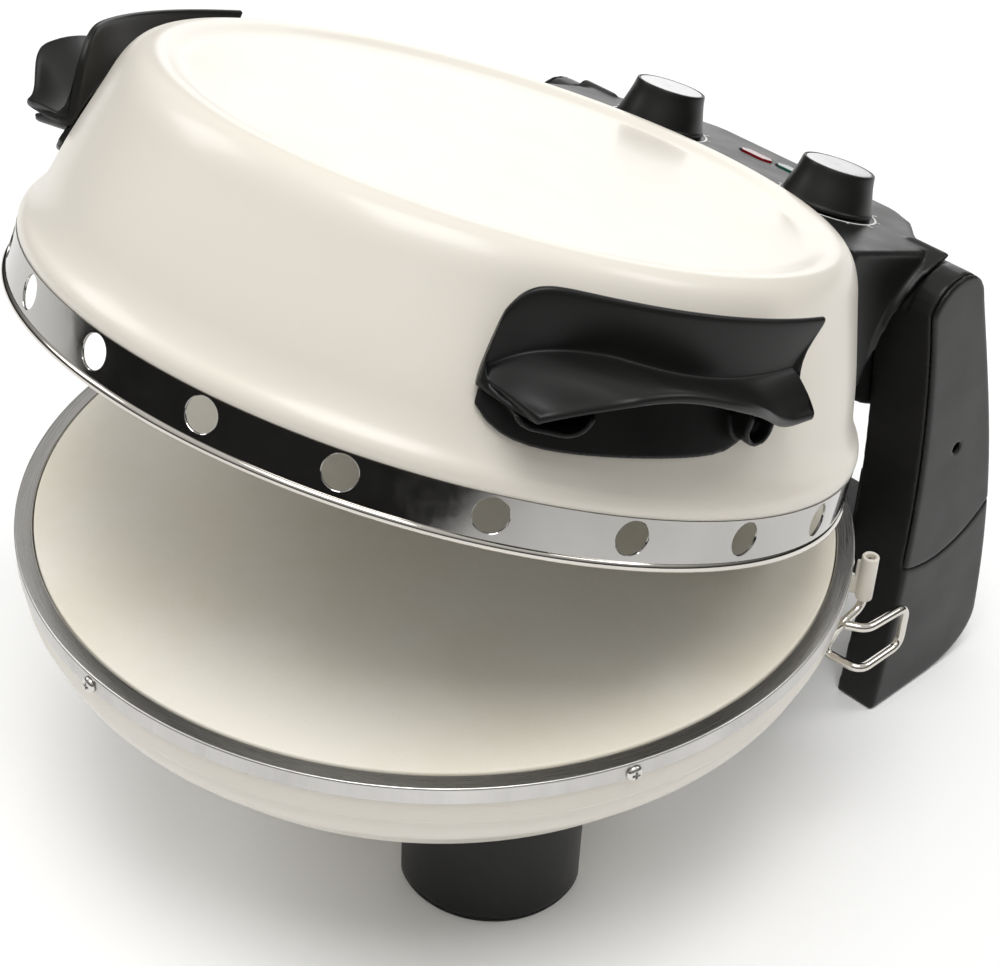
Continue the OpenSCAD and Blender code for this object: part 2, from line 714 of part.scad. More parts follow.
function grip_section(t) = let (
        c = crease_z(t), g = guard_z(t), z = shelf_z(t), r = shelf_r(t),
        a = spread(grip_a0, grip_a1, t), b = spread(grip_a0 + 0.8, grip_a1 + 3, t),
        e = spread(grip_a0 + 6.5, grip_a1 + 3, t), k = lip_r - 7.9)
    [on_round(b, k - 6, g - 0.5), on_round(b, k - 5.2, g), on_round(b, k - 6 + grip_t, g - 0.6),
     on_round(a, k - 0.8, c + 3), on_round(a, k + 0.6, c + 0.4),
     on_round(e, r - 1.2, z + 0.2), on_round(e, r, z - 1.1), on_round(e, r - 1, z - grip_t - 0.4),
     on_round(a, k + 1.5, c - grip_t - 0.8), on_round(a, k - 2.4, c - grip_t - 0.9),
     on_round(a, k - 3.2, c + 1)];

module grip() {
    color("#202020") on_lid() loft([for (i = [0:24]) grip_section(pow(i / 24, 1.5))]);
}

module grip_right() {
    grip();
}

module grip_left() {
    mirror([1, 0, 0]) grip();
}

grip_hole_a = [grip_a0 + 8.4, grip_a1 - 5.2];
grip_hole_z = 46.5;

function plate_foot(t) = 28.6 + 8.2 * t + 11 * pow(1 - t, 10) + 7 * pow(t, 16);
function plate_section(t) = let (
        a = spread(grip_a0 + 0.6, grip_a1 - 4, t), z0 = plate_foot(t),
        z1 = crease_z(t) - grip_t - 1.4)
    [on_round(a, wall_at(z0) + 0.15, z0), on_round(a, wall_at(z1) + 0.15, z1),
     on_round(a, wall_at(z1) + 2.2, z1), on_round(a, wall_at(z0) + 2.2, z0 + 0.8)];

// the space above the underside of the shelf
module above_shelf() {
    function part(t, back) = let (
            c = crease_z(t) - grip_t - 1, z = shelf_z(t) - grip_t - 0.65, r = shelf_r(t),
            a = spread(grip_a0, grip_a1, t) - back,
            e = spread(grip_a0 + 6.5, grip_a1 + 3, t) - back, k = lip_r - 7.9)
        [on_round(a, k - 3.5, 120), on_round(e, r + 6, 120), on_round(e, r + 6, z),
         on_round(e, r - 1, z), on_round(a, k + 1.5, c), on_round(a, k - 3.5, c - 0.1)];
    loft(concat([part(0, 14)], [for (i = [0:24]) part(pow(i / 24, 1.5), 0)]));
}

// open pocket standing out from the plate: width w, from z0 up, corners of radius r
module pocket(w, z0, z1, d, r) {
    rotate([90, 0, 90]) linear_extrude(d) difference() {
        union() {
            for (s = [-1, 1]) translate([s * (w / 2 - r), z0 + r]) circle(r = r);
            translate([-w / 2 + r, z0]) square([w - 2 * r, r]);
            translate([-w / 2, z0 + r]) square([w, z1 - z0 - r]);
        }
        union() {
            for (s = [-1, 1]) translate([s * (w / 2 - r), z0 + r]) circle(r = r - 1.8);
            translate([-w / 2 + r, z0 + 1.8]) square([w - 2 * r, r]);
            translate([-w / 2 + 1.8, z0 + r]) square([w - 3.6, z1 - z0]);
        }
    }
}

module grip_bracket() {
    color("#181818") on_lid() difference() {
        union() {
            loft([for (i = [0:20]) plate_section(i / 20)]);
            round_at(grip_hole_a[0], wall_at(41) + 1, 0) pocket(26, 40, 57, 13.5, 8.5);
            round_at(grip_hole_a[1], wall_at(43) + 1, 0) pocket(12, 42, 57, 8, 6);
            for (a = grip_hole_a) round_at(a, wall_at(grip_hole_z) + 1.2, grip_hole_z)
                rotate([0, 90, 0]) cylinder(r = 4, h = 4);
        }
        above_shelf();
        for (a = grip_hole_a) round_at(a, lip_r - 25, grip_hole_z) rotate([0, 90, 0])
            cylinder(r = screw_r + clear, h = 27);
    }
}

module grip_bracket_right() {
    grip_bracket();
}

module grip_bracket_left() {
    mirror([1, 0, 0]) grip_bracket();
}

module grip_screws() {
    color("silver") on_lid() mirrored() for (a = grip_hole_a)
        round_at(a, wall_at(grip_hole_z) - shell_t - 1.25, grip_hole_z) mirror([1, 0, 0])
            screw(3, 1.8, screw_r, 6);
}

// ---- panel ----

// plan of the housing, drawn in by d
function panel_plan(d) = let (y1 = lid_hy + 27.3 - d, x1 = post_x0 + 11.2 - d)
    [[-x1, lid_hy - 75 + d], [x1, lid_hy - 75 + d], [x1, lid_hy - 28], [x1 - 3, lid_hy - 22],
     [76 - d, lid_hy - 6], [63 - d, lid_hy + 11 - d], [50 - d, lid_hy + 19.5 - d],
     [35, y1], [-35, y1],
     [-50 + d, lid_hy + 19.5 - d], [-63 + d, lid_hy + 11 - d], [-76 + d, lid_hy - 6],
     [-x1 + 3, lid_hy - 22], [-x1, lid_hy - 28]];

// side view of the housing between the arms, drawn in by d
function panel_side(d) = let (y1 = lid_hy + 27.3, z1 = panel_z - d)
    concat([[lid_hy - 90, floor_z - (d > 0 ? 5 : 0)], [lid_hy - 90, z1]],
        arc([y1 - 9, panel_z - 9], 9 - d, 90, 0, 6),
        arc([y1 - 16, floor_z + 16], 16 - d, 0, -60, 5),
        [[lid_hy + 4, floor_z - (d > 0 ? 5 : 0)]]);

// the dome with its surroundings, kept clear of the housing by g
module dome_space(g) {
    rotate_extrude() polygon(concat([[0, -10], [lip_r + 3, -10], [lip_r + 3, band_h]],
        [for (i = [2:len(shell_path) - 8]) shell_path[i] + [g, 0]],
        [[lip_r - 45, 100], [0, 100]]));
}

module panel_core(d) {
    intersection() {
        translate([-120, 0, 0]) rotate([90, 0, 90]) linear_extrude(240) polygon(panel_side(d));
        linear_extrude(120) polygon(panel_plan(d));
    }
}

// keeps the half of its children ahead of the hinge line
module fore_half(x0, x1) {
    intersection() {
        children();
        translate([0, lid_hy, lid_hz]) rotate([26, 0, 0]) block([x0 - 1, -60, -60], [x1 + 1, 0, 60]);
    }
}

module panel() {
    color("#242424") on_lid() difference() {
        union() {
            difference() {
                panel_core(0);
                difference() {
                    panel_core(wall);
                    mirrored() block([arm_x0, lid_hy - 41, 0], [130, 300, 130]);
                }
            }
            // arms beside the posts
            mirrored() fore_half(arm_x0, arm_x1)
                disc_x(arm_x0, arm_x1, lid_hy, lid_hz, hood_r + 2.2);
            mirrored() disc_x(arm_x0 - 3.4, arm_x1, lid_hy, lid_hz, 11);
            // hoods over the tops of the posts
            mirrored() fore_half(arm_x1, cover_x0) intersection() {
                disc_x(arm_x1 - 1, cover_x0 - 0.4, lid_hy, lid_hz, hood_r + 2.2);
                translate([0, lid_hy + 60, 0]) rotate([90, 0, 0]) linear_extrude(120)
                    polygon([[arm_x0, lid_hz - 60], [cover_x0 - 11, lid_hz - 60],
                        [cover_x0 - 0.4, lid_hz + 33], [cover_x0 - 0.4, 120], [arm_x0, 120]]);
            }
        }
        // room for each post
        mirrored() disc_x(arm_x1, cover_x0 + 9, lid_hy, lid_hz, hood_r);
        mirrored() block([arm_x1, lid_hy - hood_r, -20], [cover_x0 + 20, lid_hy + 60, lid_hz - 4]);
        dome_space(0.5);
        mirrored() disc_x(arm_x0 - 9, arm_x1 + 1, lid_hy, lid_hz, 6.05);
        mirrored() disc_x(arm_x0 - 7, arm_x0 - 3.4, lid_hy, lid_hz, 7.6);
        translate([0, lid_hy + 20, gland_z]) rotate([-90, 0, 0]) cylinder(r = 6.1, h = 20);
        mirrored() translate([knob_x, knob_y, 60]) cylinder(r = 4, h = 40);
        translate([-11.5, lid_hy - 1.2, 70]) linear_extrude(30) lens_shape(0.1);
        translate([6.5, lid_hy + 1.3, 70]) linear_extrude(30) lens_shape(0.1);
    }
}

module lens_shape(d) {
    polygon([[-8.5 - d, 0], [-5.5, 3 + d], [5.5, 3 + d], [8.5 + d, 0], [5.5, -3 - d], [-5.5, -3 - d]]);
}

module lens(x, y) {
    translate([x, y, panel_z - wall - 0.6]) linear_extrude(wall + 1.3) lens_shape(0);
    translate([x, y, panel_z - wall - 1.4]) linear_extrude(1.3) lens_shape(1.2);
}

module power_lens() {
    color("red") on_lid() lens(-11.5, lid_hy - 1.2);
}

module ready_lens() {
    color("green") on_lid() lens(6.5, lid_hy + 1.3);
}

module lamp_holders() {
    color("white") on_lid() for (p = [[-11.5, lid_hy - 1.2], [6.5, lid_hy + 1.3]])
        translate([p[0], p[1], panel_z - wall - 16]) difference() {
            cylinder(r = 4, h = 14.5);
            translate([0, 0, 3]) cylinder(r = 2.6, h = 20);
        }
}

module panel_floor() {
    color("#202020") on_lid() difference() {
        intersection() {
            panel_core(wall + 0.3);
            block([-arm_x0 + 0.3, 100, floor_z], [arm_x0 - 0.3, lid_hy + 22, floor_z + 2.2]);
        }
        dome_space(0.7);
        for (s = [-1, 1]) translate([s * 64, lid_hy - 9, 0]) cylinder(r = screw_r + clear, h = 60);
    }
    color("#202020") on_lid() for (s = [-1, 1]) translate([s * 64, lid_hy - 9, floor_z + 2.1])
        difference() {
            cylinder(r = 4, h = panel_z - wall - 0.3 - floor_z - 2.1);
            translate([0, 0, -1]) cylinder(r = screw_r + clear, h = 12);
        }
}

module floor_screws() {
    color("silver") on_lid() for (s = [-1, 1]) translate([s * 64, lid_hy - 9, floor_z - 0.05])
        rotate([0, 90, 0]) screw(3, 1.8, screw_r, 9);
}

module hinge_bushes() {
    color("goldenrod") on_lid() mirrored() difference() {
        union() {
            disc_x(arm_x0 - 4, arm_x1 - 0.1, lid_hy, lid_hz, 6);
            disc_x(arm_x1 + 0.05, arm_x1 + 0.35, lid_hy, lid_hz, 8);
            disc_x(arm_x1 - 0.2, arm_x1 + 0.1, lid_hy, lid_hz, 6);
        }
        disc_x(arm_x0 - 5, arm_x1 + 1, lid_hy, lid_hz, pin_r + 0.06);
    }
}

// printed scale: arcs with ticks round both knobs
module dial_marks() {
    color("white") on_lid() difference() {
        for (s = [-1, 1]) translate([s * knob_x, knob_y, panel_z + 0.02]) {
            rotate([0, 0, 120]) rotate_extrude(angle = 300) translate([knob_r + 1.6, 0])
                square([0.9, 0.25]);
            for (i = [0:10]) rotate([0, 0, 120 + 30 * i]) translate([knob_r + 1.7, -0.3, 0])
                cube([2.6, 0.6, 0.25]);
        }
        dome_space(1);
    }
}

module timer() {
    color("dimgray") on_lid() translate([-knob_x, knob_y + 4, 0]) difference() {
        union() {
            translate([0, -4, panel_z - wall - 1.6]) cylinder(r = 14, h = 1.5);
            translate([0, 2, panel_z - 27]) cylinder(r = 15, h = 24);
            block([-17, -5, panel_z - 22], [17, 7, panel_z - 19]);
        }
        translate([0, -4, 0]) cylinder(r = shaft_r + 0.1, h = 100);
    }
}

module thermostat() {
    color("dimgray") on_lid() translate([knob_x, knob_y + 4, 0]) difference() {
        union() {
            translate([0, -4, panel_z - wall - 1.6]) cylinder(r = 14, h = 1.5);
            block([-13, -8, panel_z - 24], [13, 14, panel_z - wall - 1.5]);
            for (x = [-8, 8]) block([x - 3, 5, panel_z - 31], [x + 3, 6, panel_z - 23]);
        }
        translate([0, -4, 0]) cylinder(r = shaft_r + 0.1, h = 100);
    }
}

module terminal_block() {
    color("ivory") on_lid() translate([0, lid_hy - 8.5, floor_z + 2.25]) difference() {
        block([-24, -6, 0], [24, 2, 12]);
        for (x = [-18, -6, 6, 18]) {
            translate([x, -2, 4]) cylinder(r = 2, h = 20);
            translate([x, -10, 5]) rotate([-90, 0, 0]) cylinder(r = 1.8, h = 20);
        }
    }
}

module cable_gland() {
    color("#181818") on_lid() translate([0, lid_hy + 27.3, gland_z]) rotate([-90, 0, 0])
        difference() {
            union() {
                translate([0, 0, 0.1]) cylinder(r1 = 8, r2 = 5.4, h = 6);
                translate([0, 0, -5]) cylinder(r = 6, h = 6);
            }
            translate([0, 0, -6]) cylinder(r = 3.4, h = 30);
        }
}

// ---- knobs ----

module on_knob(s) {
    on_lid() translate([s * knob_x, knob_y, panel_z + 0.6]) children();
}

module knob() {
    top = knob_r - 4.4;
    color("#282828") difference() {
        rotate_extrude() polygon(concat([[shaft_r + 2.6, 1], [knob_r - 2.6, 1], [knob_r - 2.2, 0],
            [knob_r, 0], [knob_r, 1.4], [knob_r - 0.5, 1.9]],
            curve([knob_r - 0.5, 1.9], [knob_r - 1.4, 6], [top + 0.8, 11], [top + 0.4, knob_h - 1.2], 5),
            [[top + 0.2, knob_h - 0.4], [top - 0.3, knob_h], [top - 0.9, knob_h],
             [top - 0.9, knob_h - 1.1], [0, knob_h - 1.1], [0, 10], [shaft_r + 2.6, 10]]));
        rotate_extrude() polygon([[shaft_r + 2.7, -1], [knob_r - 3, -1], [top - 2.2, knob_h - 3.4],
            [shaft_r + 2.7, knob_h - 3.4]]);
        translate([0, 0, -1]) cylinder(r = shaft_r + 0.05, h = 10.5);
        translate([0, top + 0.1, 5]) block([-0.5, 0, 0], [0.5, 4, 20]);
    }
    color("#282828") difference() {
        translate([0, 0, 0.8]) cylinder(r = shaft_r + 2.75, h = knob_h - 3);
        translate([0, 0, -1]) cylinder(r = shaft_r + 0.05, h = 10.5);
    }
}

module knob_disc() {
    top = knob_r - 4.4;
    color("silver") translate([0, 0, knob_h - 1.05]) rotate_extrude() polygon([[0, 0],
        [top - 0.95, 0], [top - 0.95, 0.75], [top - 1.3, 1.05], [top - 3, 1.2], [0, 1.3]]);
}

module shaft() {
    color("silver") translate([0, 0, -12]) cylinder(r = shaft_r, h = 21);
}

module knob_time() {
    on_knob(-1) knob();
}

module knob_time_disc() {
    on_knob(-1) knob_disc();
}

module time_shaft() {
    on_knob(-1) shaft();
}

module knob_heat() {
    on_knob(1) knob();
}

module knob_heat_disc() {
    on_knob(1) knob_disc();
}

module heat_shaft() {
    on_knob(1) shaft();
}

base_pan();
trim_ring();
ring_screws();
stone();
reflector();
lower_element();
element_bushes();
lower_clips();
front_foot_right();
front_foot_left();
foot_pads();
foot_screws();
carrier();
post_right();
post_left();
cover_right();
cover_left();
cover_screws();
carrier_screws();
hinge_pins();
hinge_clips();
bail_bracket_right();
bail_bracket_left();
bracket_screws();
bail_right();
bail_left();
lid_shell();
vent_band();
lid_lip();
lid_liner();
upper_element();
upper_bushes();
upper_clips();
liner_screws();
grip_right();
grip_left();
grip_bracket_right();
grip_bracket_left();
grip_screws();
panel();
panel_floor();
floor_screws();
hinge_bushes();
dial_marks();
power_lens();
ready_lens();
lamp_holders();
timer();
thermostat();
terminal_block();
cable_gland();
knob_time();
knob_time_disc();
time_shaft();
knob_heat();
knob_heat_disc();
heat_shaft();
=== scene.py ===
"""Countertop stone oven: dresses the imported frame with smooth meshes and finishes.

All sizes in the classes below are millimetres. Pieces of the base are given in the
frame of the part: origin on the table under the middle of the stone, X to the right,
Y to the hinge, Z up. Pieces of the lid and its knobs are given in the lid's own frame,
with the origin on the dome's axis in the plane of its lip.
"""

from __future__ import annotations

import json
import logging
import math
from contextlib import contextmanager
from dataclasses import dataclass, field
from enum import Enum
from typing import Callable, Iterable, Iterator, Sequence

import bmesh
import bpy
from mathutils import Matrix, Vector

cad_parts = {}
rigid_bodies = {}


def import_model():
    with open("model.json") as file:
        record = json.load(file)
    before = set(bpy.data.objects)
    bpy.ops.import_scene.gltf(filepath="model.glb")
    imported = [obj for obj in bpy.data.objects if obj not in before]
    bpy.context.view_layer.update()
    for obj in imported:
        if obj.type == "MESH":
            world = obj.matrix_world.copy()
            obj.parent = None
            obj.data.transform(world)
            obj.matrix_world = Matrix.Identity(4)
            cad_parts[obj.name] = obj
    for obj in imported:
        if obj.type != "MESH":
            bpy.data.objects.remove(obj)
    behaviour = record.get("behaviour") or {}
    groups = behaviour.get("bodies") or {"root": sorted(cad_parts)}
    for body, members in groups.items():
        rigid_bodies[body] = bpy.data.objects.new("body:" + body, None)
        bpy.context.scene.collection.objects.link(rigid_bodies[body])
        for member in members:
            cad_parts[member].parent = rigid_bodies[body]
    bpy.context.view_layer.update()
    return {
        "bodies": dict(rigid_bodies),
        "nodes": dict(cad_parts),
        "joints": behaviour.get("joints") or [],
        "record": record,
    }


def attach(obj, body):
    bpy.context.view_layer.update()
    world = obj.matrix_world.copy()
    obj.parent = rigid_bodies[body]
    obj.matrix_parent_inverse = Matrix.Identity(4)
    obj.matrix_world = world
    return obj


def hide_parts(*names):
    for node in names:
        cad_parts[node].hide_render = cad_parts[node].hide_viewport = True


MM = 0.001
LOG = logging.getLogger("stone_oven")
Point = tuple[float, float]
Colour = tuple[float, float, float]
Socket = bpy.types.NodeSocket


class Side(Enum):
    """The two hands of a mirrored piece."""

    RIGHT = 1
    LEFT = -1


class Brushing(Enum):
    """Direction in which a metal face was brushed."""

    ROUND = "round"
    ALONG = "along"


# ---------------------------------------------------------------------------
# node trees
# ---------------------------------------------------------------------------


class Nodes:
    """A node tree under construction."""

    def __init__(self, tree: bpy.types.NodeTree) -> None:
        """Work on a tree.

        Args:
            tree: the tree that gets the nodes.
        """
        self.tree = tree

    def link(self, a: Socket, b: Socket) -> None:
        """Join an output to an input."""
        self.tree.links.new(a, b)

    def node(self, kind: str, inputs: dict[str | int, object] | None = None,
             **settings: object) -> bpy.types.Node:
        """Add a node with its inputs linked or set.

        Args:
            kind: the node's type name.
            inputs: socket name or index to a socket or a constant.
            settings: attributes to set first.

        Returns:
            The node.
        """
        made = self.tree.nodes.new(kind)
        for key, value in settings.items():
            setattr(made, key, value)
        for key, value in (inputs or {}).items():
            if isinstance(value, Socket):
                self.link(value, made.inputs[key])
            else:
                made.inputs[key].default_value = value
        return made

    def maths(self, kind: str, a: object, b: object = 0.0) -> Socket:
        """Arithmetic on values.

        Args:
            kind: the Math node's operation.
            a: first socket or number.
            b: second socket or number.

        Returns:
            The result.
        """
        return self.node("ShaderNodeMath", {0: a, 1: b}, operation=kind).outputs[0]

    def vector(self, x: object, y: object, z: object = 0.0) -> Socket:
        """Vector of three sockets or numbers."""
        return self.node("ShaderNodeCombineXYZ", {0: x, 1: y, 2: z}).outputs[0]

    def ramp(self, value: Socket, stops: Sequence[tuple[float, Colour]]) -> Socket:
        """Colour ramp over a value.

        Args:
            value: the driving value.
            stops: places and colours.

        Returns:
            The colour.
        """
        made = self.node("ShaderNodeValToRGB", {"Fac": value})
        elements = made.color_ramp.elements
        while len(elements) < len(stops):
            elements.new(0.5)
        for element, (at, colour) in zip(elements, stops):
            element.position = at
            element.color = (*colour, 1)
        return made.outputs["Color"]


class Shader(Nodes):
    """A material under construction, with short calls for the nodes used here."""

    def __init__(self, name: str) -> None:
        """Start an empty material with one Principled shader.

        Args:
            name: the material's name.
        """
        self.material = bpy.data.materials.new(name)
        self.material.use_nodes = True
        super().__init__(self.material.node_tree)
        self.tree.nodes.clear()
        self.surface = self.node("ShaderNodeBsdfPrincipled")
        self.node("ShaderNodeOutputMaterial", {"Surface": self.surface.outputs[0]})

    def set(self, **values: object) -> None:
        """Set sockets of the Principled shader; underscores stand for spaces."""
        for key, value in values.items():
            self.surface.inputs[key.replace("_", " ")].default_value = value

    def place(self, scale: Sequence[float] = (1, 1, 1)) -> Socket:
        """Object coordinates stretched by a factor along each axis."""
        where = self.node("ShaderNodeTexCoord").outputs["Object"]
        return self.node("ShaderNodeMapping", {"Vector": where, "Scale": scale}).outputs[0]

    def noise(self, scale: float, detail: float = 3, rough: float = 0.5,
              where: Socket | None = None) -> Socket:
        """Noise as a value from 0 to 1.

        Args:
            scale: features per metre.
            detail: octaves.
            rough: weight of the finer octaves.
            where: the vector to read, or object coordinates.

        Returns:
            The noise value.
        """
        return self.node("ShaderNodeTexNoise", {
            "Vector": where or self.place(), "Scale": scale, "Detail": detail,
            "Roughness": rough}).outputs["Fac"]

    def span(self, value: Socket, low: float, high: float, src: Point = (0.3, 0.7)) -> Socket:
        """Map a value to a range.

        Args:
            value: the driving value.
            low: result at the source's low end.
            high: result at the source's high end.
            src: the source's range.

        Returns:
            The mapped value.
        """
        return self.node("ShaderNodeMapRange", {
            "Value": value, "From Min": src[0], "From Max": src[1],
            "To Min": low, "To Max": high}).outputs["Result"]

    def blend(self, fac: Socket, under: Socket, over: Colour) -> Socket:
        """Lay a colour over another.

        Args:
            fac: how much of the upper colour shows.
            under: lower colour.
            over: upper colour.

        Returns:
            The mixed colour.
        """
        made = self.node("ShaderNodeMix", {"Factor": fac}, data_type="RGBA")
        lower, upper = (s for s in made.inputs if s.type == "RGBA")
        self.link(under, lower)
        upper.default_value = (*over, 1)
        return [s for s in made.outputs if s.type == "RGBA"][0]

    def paint(self, colour: Socket) -> None:
        """Use a colour as the base colour."""
        self.link(colour, self.surface.inputs["Base Color"])

    def rough(self, value: Socket) -> None:
        """Use a value as the roughness."""
        self.link(value, self.surface.inputs["Roughness"])

    def bump(self, height: Socket, strength: float, depth_mm: float, round_mm: float = 0.0) -> None:
        """Raise the surface by a height value.

        Args:
            height: the height value.
            strength: the bump's strength.
            depth_mm: depth of a full step.
            round_mm: radius by which hard edges are eased.
        """
        inputs = {"Height": height, "Strength": strength, "Distance": depth_mm * MM}
        if round_mm:
            ease = self.node("ShaderNodeBevel", {"Radius": round_mm * MM}, samples=4)
            inputs["Normal"] = ease.outputs[0]
        self.link(self.node("ShaderNodeBump", inputs).outputs[0], self.surface.inputs["Normal"])

    def polar(self) -> tuple[Socket, Socket]:
        """Distance from the vertical axis in metres, and angle round it in radians."""
        where = self.node("ShaderNodeTexCoord").outputs["Object"]
        x, y, _ = self.node("ShaderNodeSeparateXYZ", {0: where}).outputs
        square = self.maths("ADD", self.maths("MULTIPLY", x, x), self.maths("MULTIPLY", y, y))
        return self.maths("SQRT", square), self.maths("ARCTAN2", y, x)


# ---------------------------------------------------------------------------
# finishes
# ---------------------------------------------------------------------------


@dataclass(frozen=True)
class Enamel:
    """Baked cream enamel on sheet steel: warm, glossy, with a faint orange peel."""

    name: str = "cream_enamel"
    colour: Colour = (0.755, 0.715, 0.64)
    shade: Colour = (0.73, 0.685, 0.605)

    def make(self) -> bpy.types.Material:
        """Build the material."""
        s = Shader(self.name)
        s.paint(s.ramp(s.noise(7, 4), [(0.3, self.shade), (0.7, self.colour)]))
        s.rough(s.span(s.noise(45, 4), 0.32, 0.4))
        s.set(Coat_Weight=0.3, Coat_Roughness=0.16, Specular_IOR_Level=0.35)
        s.bump(s.noise(900, 2), 0.05, 0.02)
        return s.material


@dataclass(frozen=True)
class BrushedSteel:
    """Stainless sheet, brushed round the axis or along one direction."""

    name: str
    colour: Colour
    brushing: Brushing
    roughness: Point = (0.22, 0.38)

    def make(self) -> bpy.types.Material:
        """Build the material."""
        s = Shader(self.name)
        s.set(Metallic=1.0)
        if self.brushing is Brushing.ROUND:
            r, a = s.polar()
            lines = s.noise(1.0, 3, 0.7, s.vector(s.maths("MULTIPLY", r, 5200),
                                                  s.maths("MULTIPLY", a, 5)))
            s.set(Anisotropic=0.55)
            round_z = s.node("ShaderNodeTangent", direction_type="RADIAL", axis="Z")
            s.link(round_z.outputs[0], s.surface.inputs["Tangent"])
        else:
            lines = s.noise(1.0, 3, 0.7, s.place((60, 60, 6500)))
        dark = tuple(c * 0.72 for c in self.colour)
        s.paint(s.ramp(lines, [(0.25, dark), (0.7, self.colour)]))
        s.rough(s.span(lines, *self.roughness))
        s.bump(lines, 0.15, 0.03)
        return s.material


@dataclass(frozen=True)
class PolishedSteel:
    """Mirror-polished steel with faint drawing lines and a few hairline marks."""

    name: str
    colour: Colour
    roughness: Point = (0.05, 0.13)

    def make(self) -> bpy.types.Material:
        """Build the material."""
        s = Shader(self.name)
        s.set(Metallic=1.0)
        dull = tuple(c * 0.86 for c in self.colour)
        s.paint(s.ramp(s.noise(26, 4), [(0.3, dull), (0.65, self.colour)]))
        s.rough(s.span(s.noise(90, 5, 0.65), *self.roughness))
        s.bump(s.noise(900, 3), 0.04, 0.02)
        return s.material


@dataclass(frozen=True)
class Clay:
    """Fired refractory slab: pale, matt, slightly gritty, a little toasted in places."""

    name: str = "refractory"
    colour: Colour = (0.92, 0.88, 0.78)
    toast: Colour = (0.86, 0.80, 0.66)

    def make(self) -> bpy.types.Material:
        """Build the material."""
        s = Shader(self.name)
        base = s.ramp(s.noise(9, 5, 0.6), [(0.28, self.toast), (0.55, self.colour)])
        grit = s.span(s.noise(1500, 2), 0.0, 0.35, (0.62, 0.8))
        s.paint(s.blend(grit, base, (0.66, 0.59, 0.45)))
        s.rough(s.span(s.noise(200, 4), 0.72, 0.9))
        s.bump(s.noise(1100, 4, 0.7), 0.35, 0.15)
        return s.material


@dataclass(frozen=True)
class Moulding:
    """Black moulded plastic with a fine spark-eroded grain and a satin sheen."""

    name: str = "black_moulding"
    colour: Colour = (0.007, 0.007, 0.0068)
    worn: Colour = (0.012, 0.012, 0.0112)
    roughness: Point = (0.3, 0.4)
    grain: float = 0.1

    def make(self) -> bpy.types.Material:
        """Build the material."""
        s = Shader(self.name)
        s.paint(s.ramp(s.noise(14, 5), [(0.3, self.colour), (0.75, self.worn)]))
        s.rough(s.span(s.noise(55, 4), *self.roughness))
        s.set(Specular_IOR_Level=0.25)
        s.bump(s.noise(2600, 2), self.grain, 0.05, 0.5)
        return s.material


@dataclass(frozen=True)
class Plain:
    """Small fittings: one tone with slight mottling, roughness and grain."""

    name: str
    colour: Colour
    metallic: float = 0.0
    roughness: Point = (0.4, 0.55)
    grain_mm: float = 0.05
    clear: float = 0.0

    def make(self) -> bpy.types.Material:
        """Build the material."""
        s = Shader(self.name)
        low = tuple(c * 0.8 for c in self.colour)
        s.paint(s.ramp(s.noise(60, 4), [(0.3, low), (0.7, self.colour)]))
        s.rough(s.span(s.noise(160, 3), *self.roughness))
        s.set(Metallic=self.metallic)
        if self.clear:
            s.set(Transmission_Weight=self.clear, IOR=1.49, Coat_Weight=0.6)
        s.bump(s.noise(1400, 3), 0.15, self.grain_mm, 0.25)
        return s.material


@dataclass
class Finishes:
    """All the materials of the oven, one for each slot of the record."""

    made: dict[str, bpy.types.Material] = field(default_factory=dict)

    def build(self) -> None:
        """Make every finish once."""
        for finish in (
            Enamel(),
            Clay(),
            Moulding(),
            BrushedSteel("brushed_steel", (0.60, 0.585, 0.57), Brushing.ROUND),
            BrushedSteel("brushed_disc", (0.70, 0.70, 0.70), Brushing.ALONG, (0.3, 0.45)),
            PolishedSteel("polished_steel", (0.44, 0.43, 0.415)),
            PolishedSteel("bright_wire", (0.66, 0.63, 0.58), (0.04, 0.1)),
            PolishedSteel("screw_steel", (0.68, 0.66, 0.63), (0.12, 0.25)),
            Plain("plated_sheet", (0.66, 0.66, 0.65), 1.0, (0.3, 0.5)),
            Plain("element_steel", (0.10, 0.095, 0.09), 0.8, (0.45, 0.65)),
            Plain("porcelain", (0.80, 0.77, 0.70)),
            Plain("pad_rubber", (0.018, 0.018, 0.018), 0.0, (0.6, 0.8)),
            Plain("painted_carrier", (0.02, 0.02, 0.021), 0.0, (0.4, 0.6)),
            Plain("bush_brass", (0.66, 0.50, 0.22), 1.0, (0.2, 0.35)),
            Plain("white_print", (0.80, 0.80, 0.79), 0.0, (0.4, 0.5), 0.01),
            Plain("red_lens", (0.30, 0.012, 0.018), 0.0, (0.12, 0.2), 0.02, 0.25),
            Plain("green_lens", (0.01, 0.12, 0.085), 0.0, (0.12, 0.2), 0.02, 0.25),
            Plain("device_body", (0.20, 0.20, 0.19)),
        ):
            self.made[finish.name] = finish.make()

    def dress_frame(self, frame: dict) -> None:
        """Give every carried-over node the finish of its slot.
        """
        for row in frame["record"]["subparts"]:
            node = frame["nodes"][row["node"]]
            node.data.materials.clear()
            node.data.materials.append(self.made[row["material_slot"]])


# ---------------------------------------------------------------------------
# mesh helpers
# ---------------------------------------------------------------------------


def cubic(a: Point, b: Point, c: Point, d: Point, n: int) -> list[Point]:
    """Points of a cubic curve without its last.

    Args:
        a: start.
        b: first handle.
        c: second handle.
        d: end.
        n: number of points.

    Returns:
        The points.
    """
    out = []
    for i in range(n):
        t = i / n
        w = ((1 - t) ** 3, 3 * t * (1 - t) ** 2, 3 * t * t * (1 - t), t ** 3)
        out.append(tuple(sum(k * p[j] for k, p in zip(w, (a, b, c, d))) for j in (0, 1)))
    return out


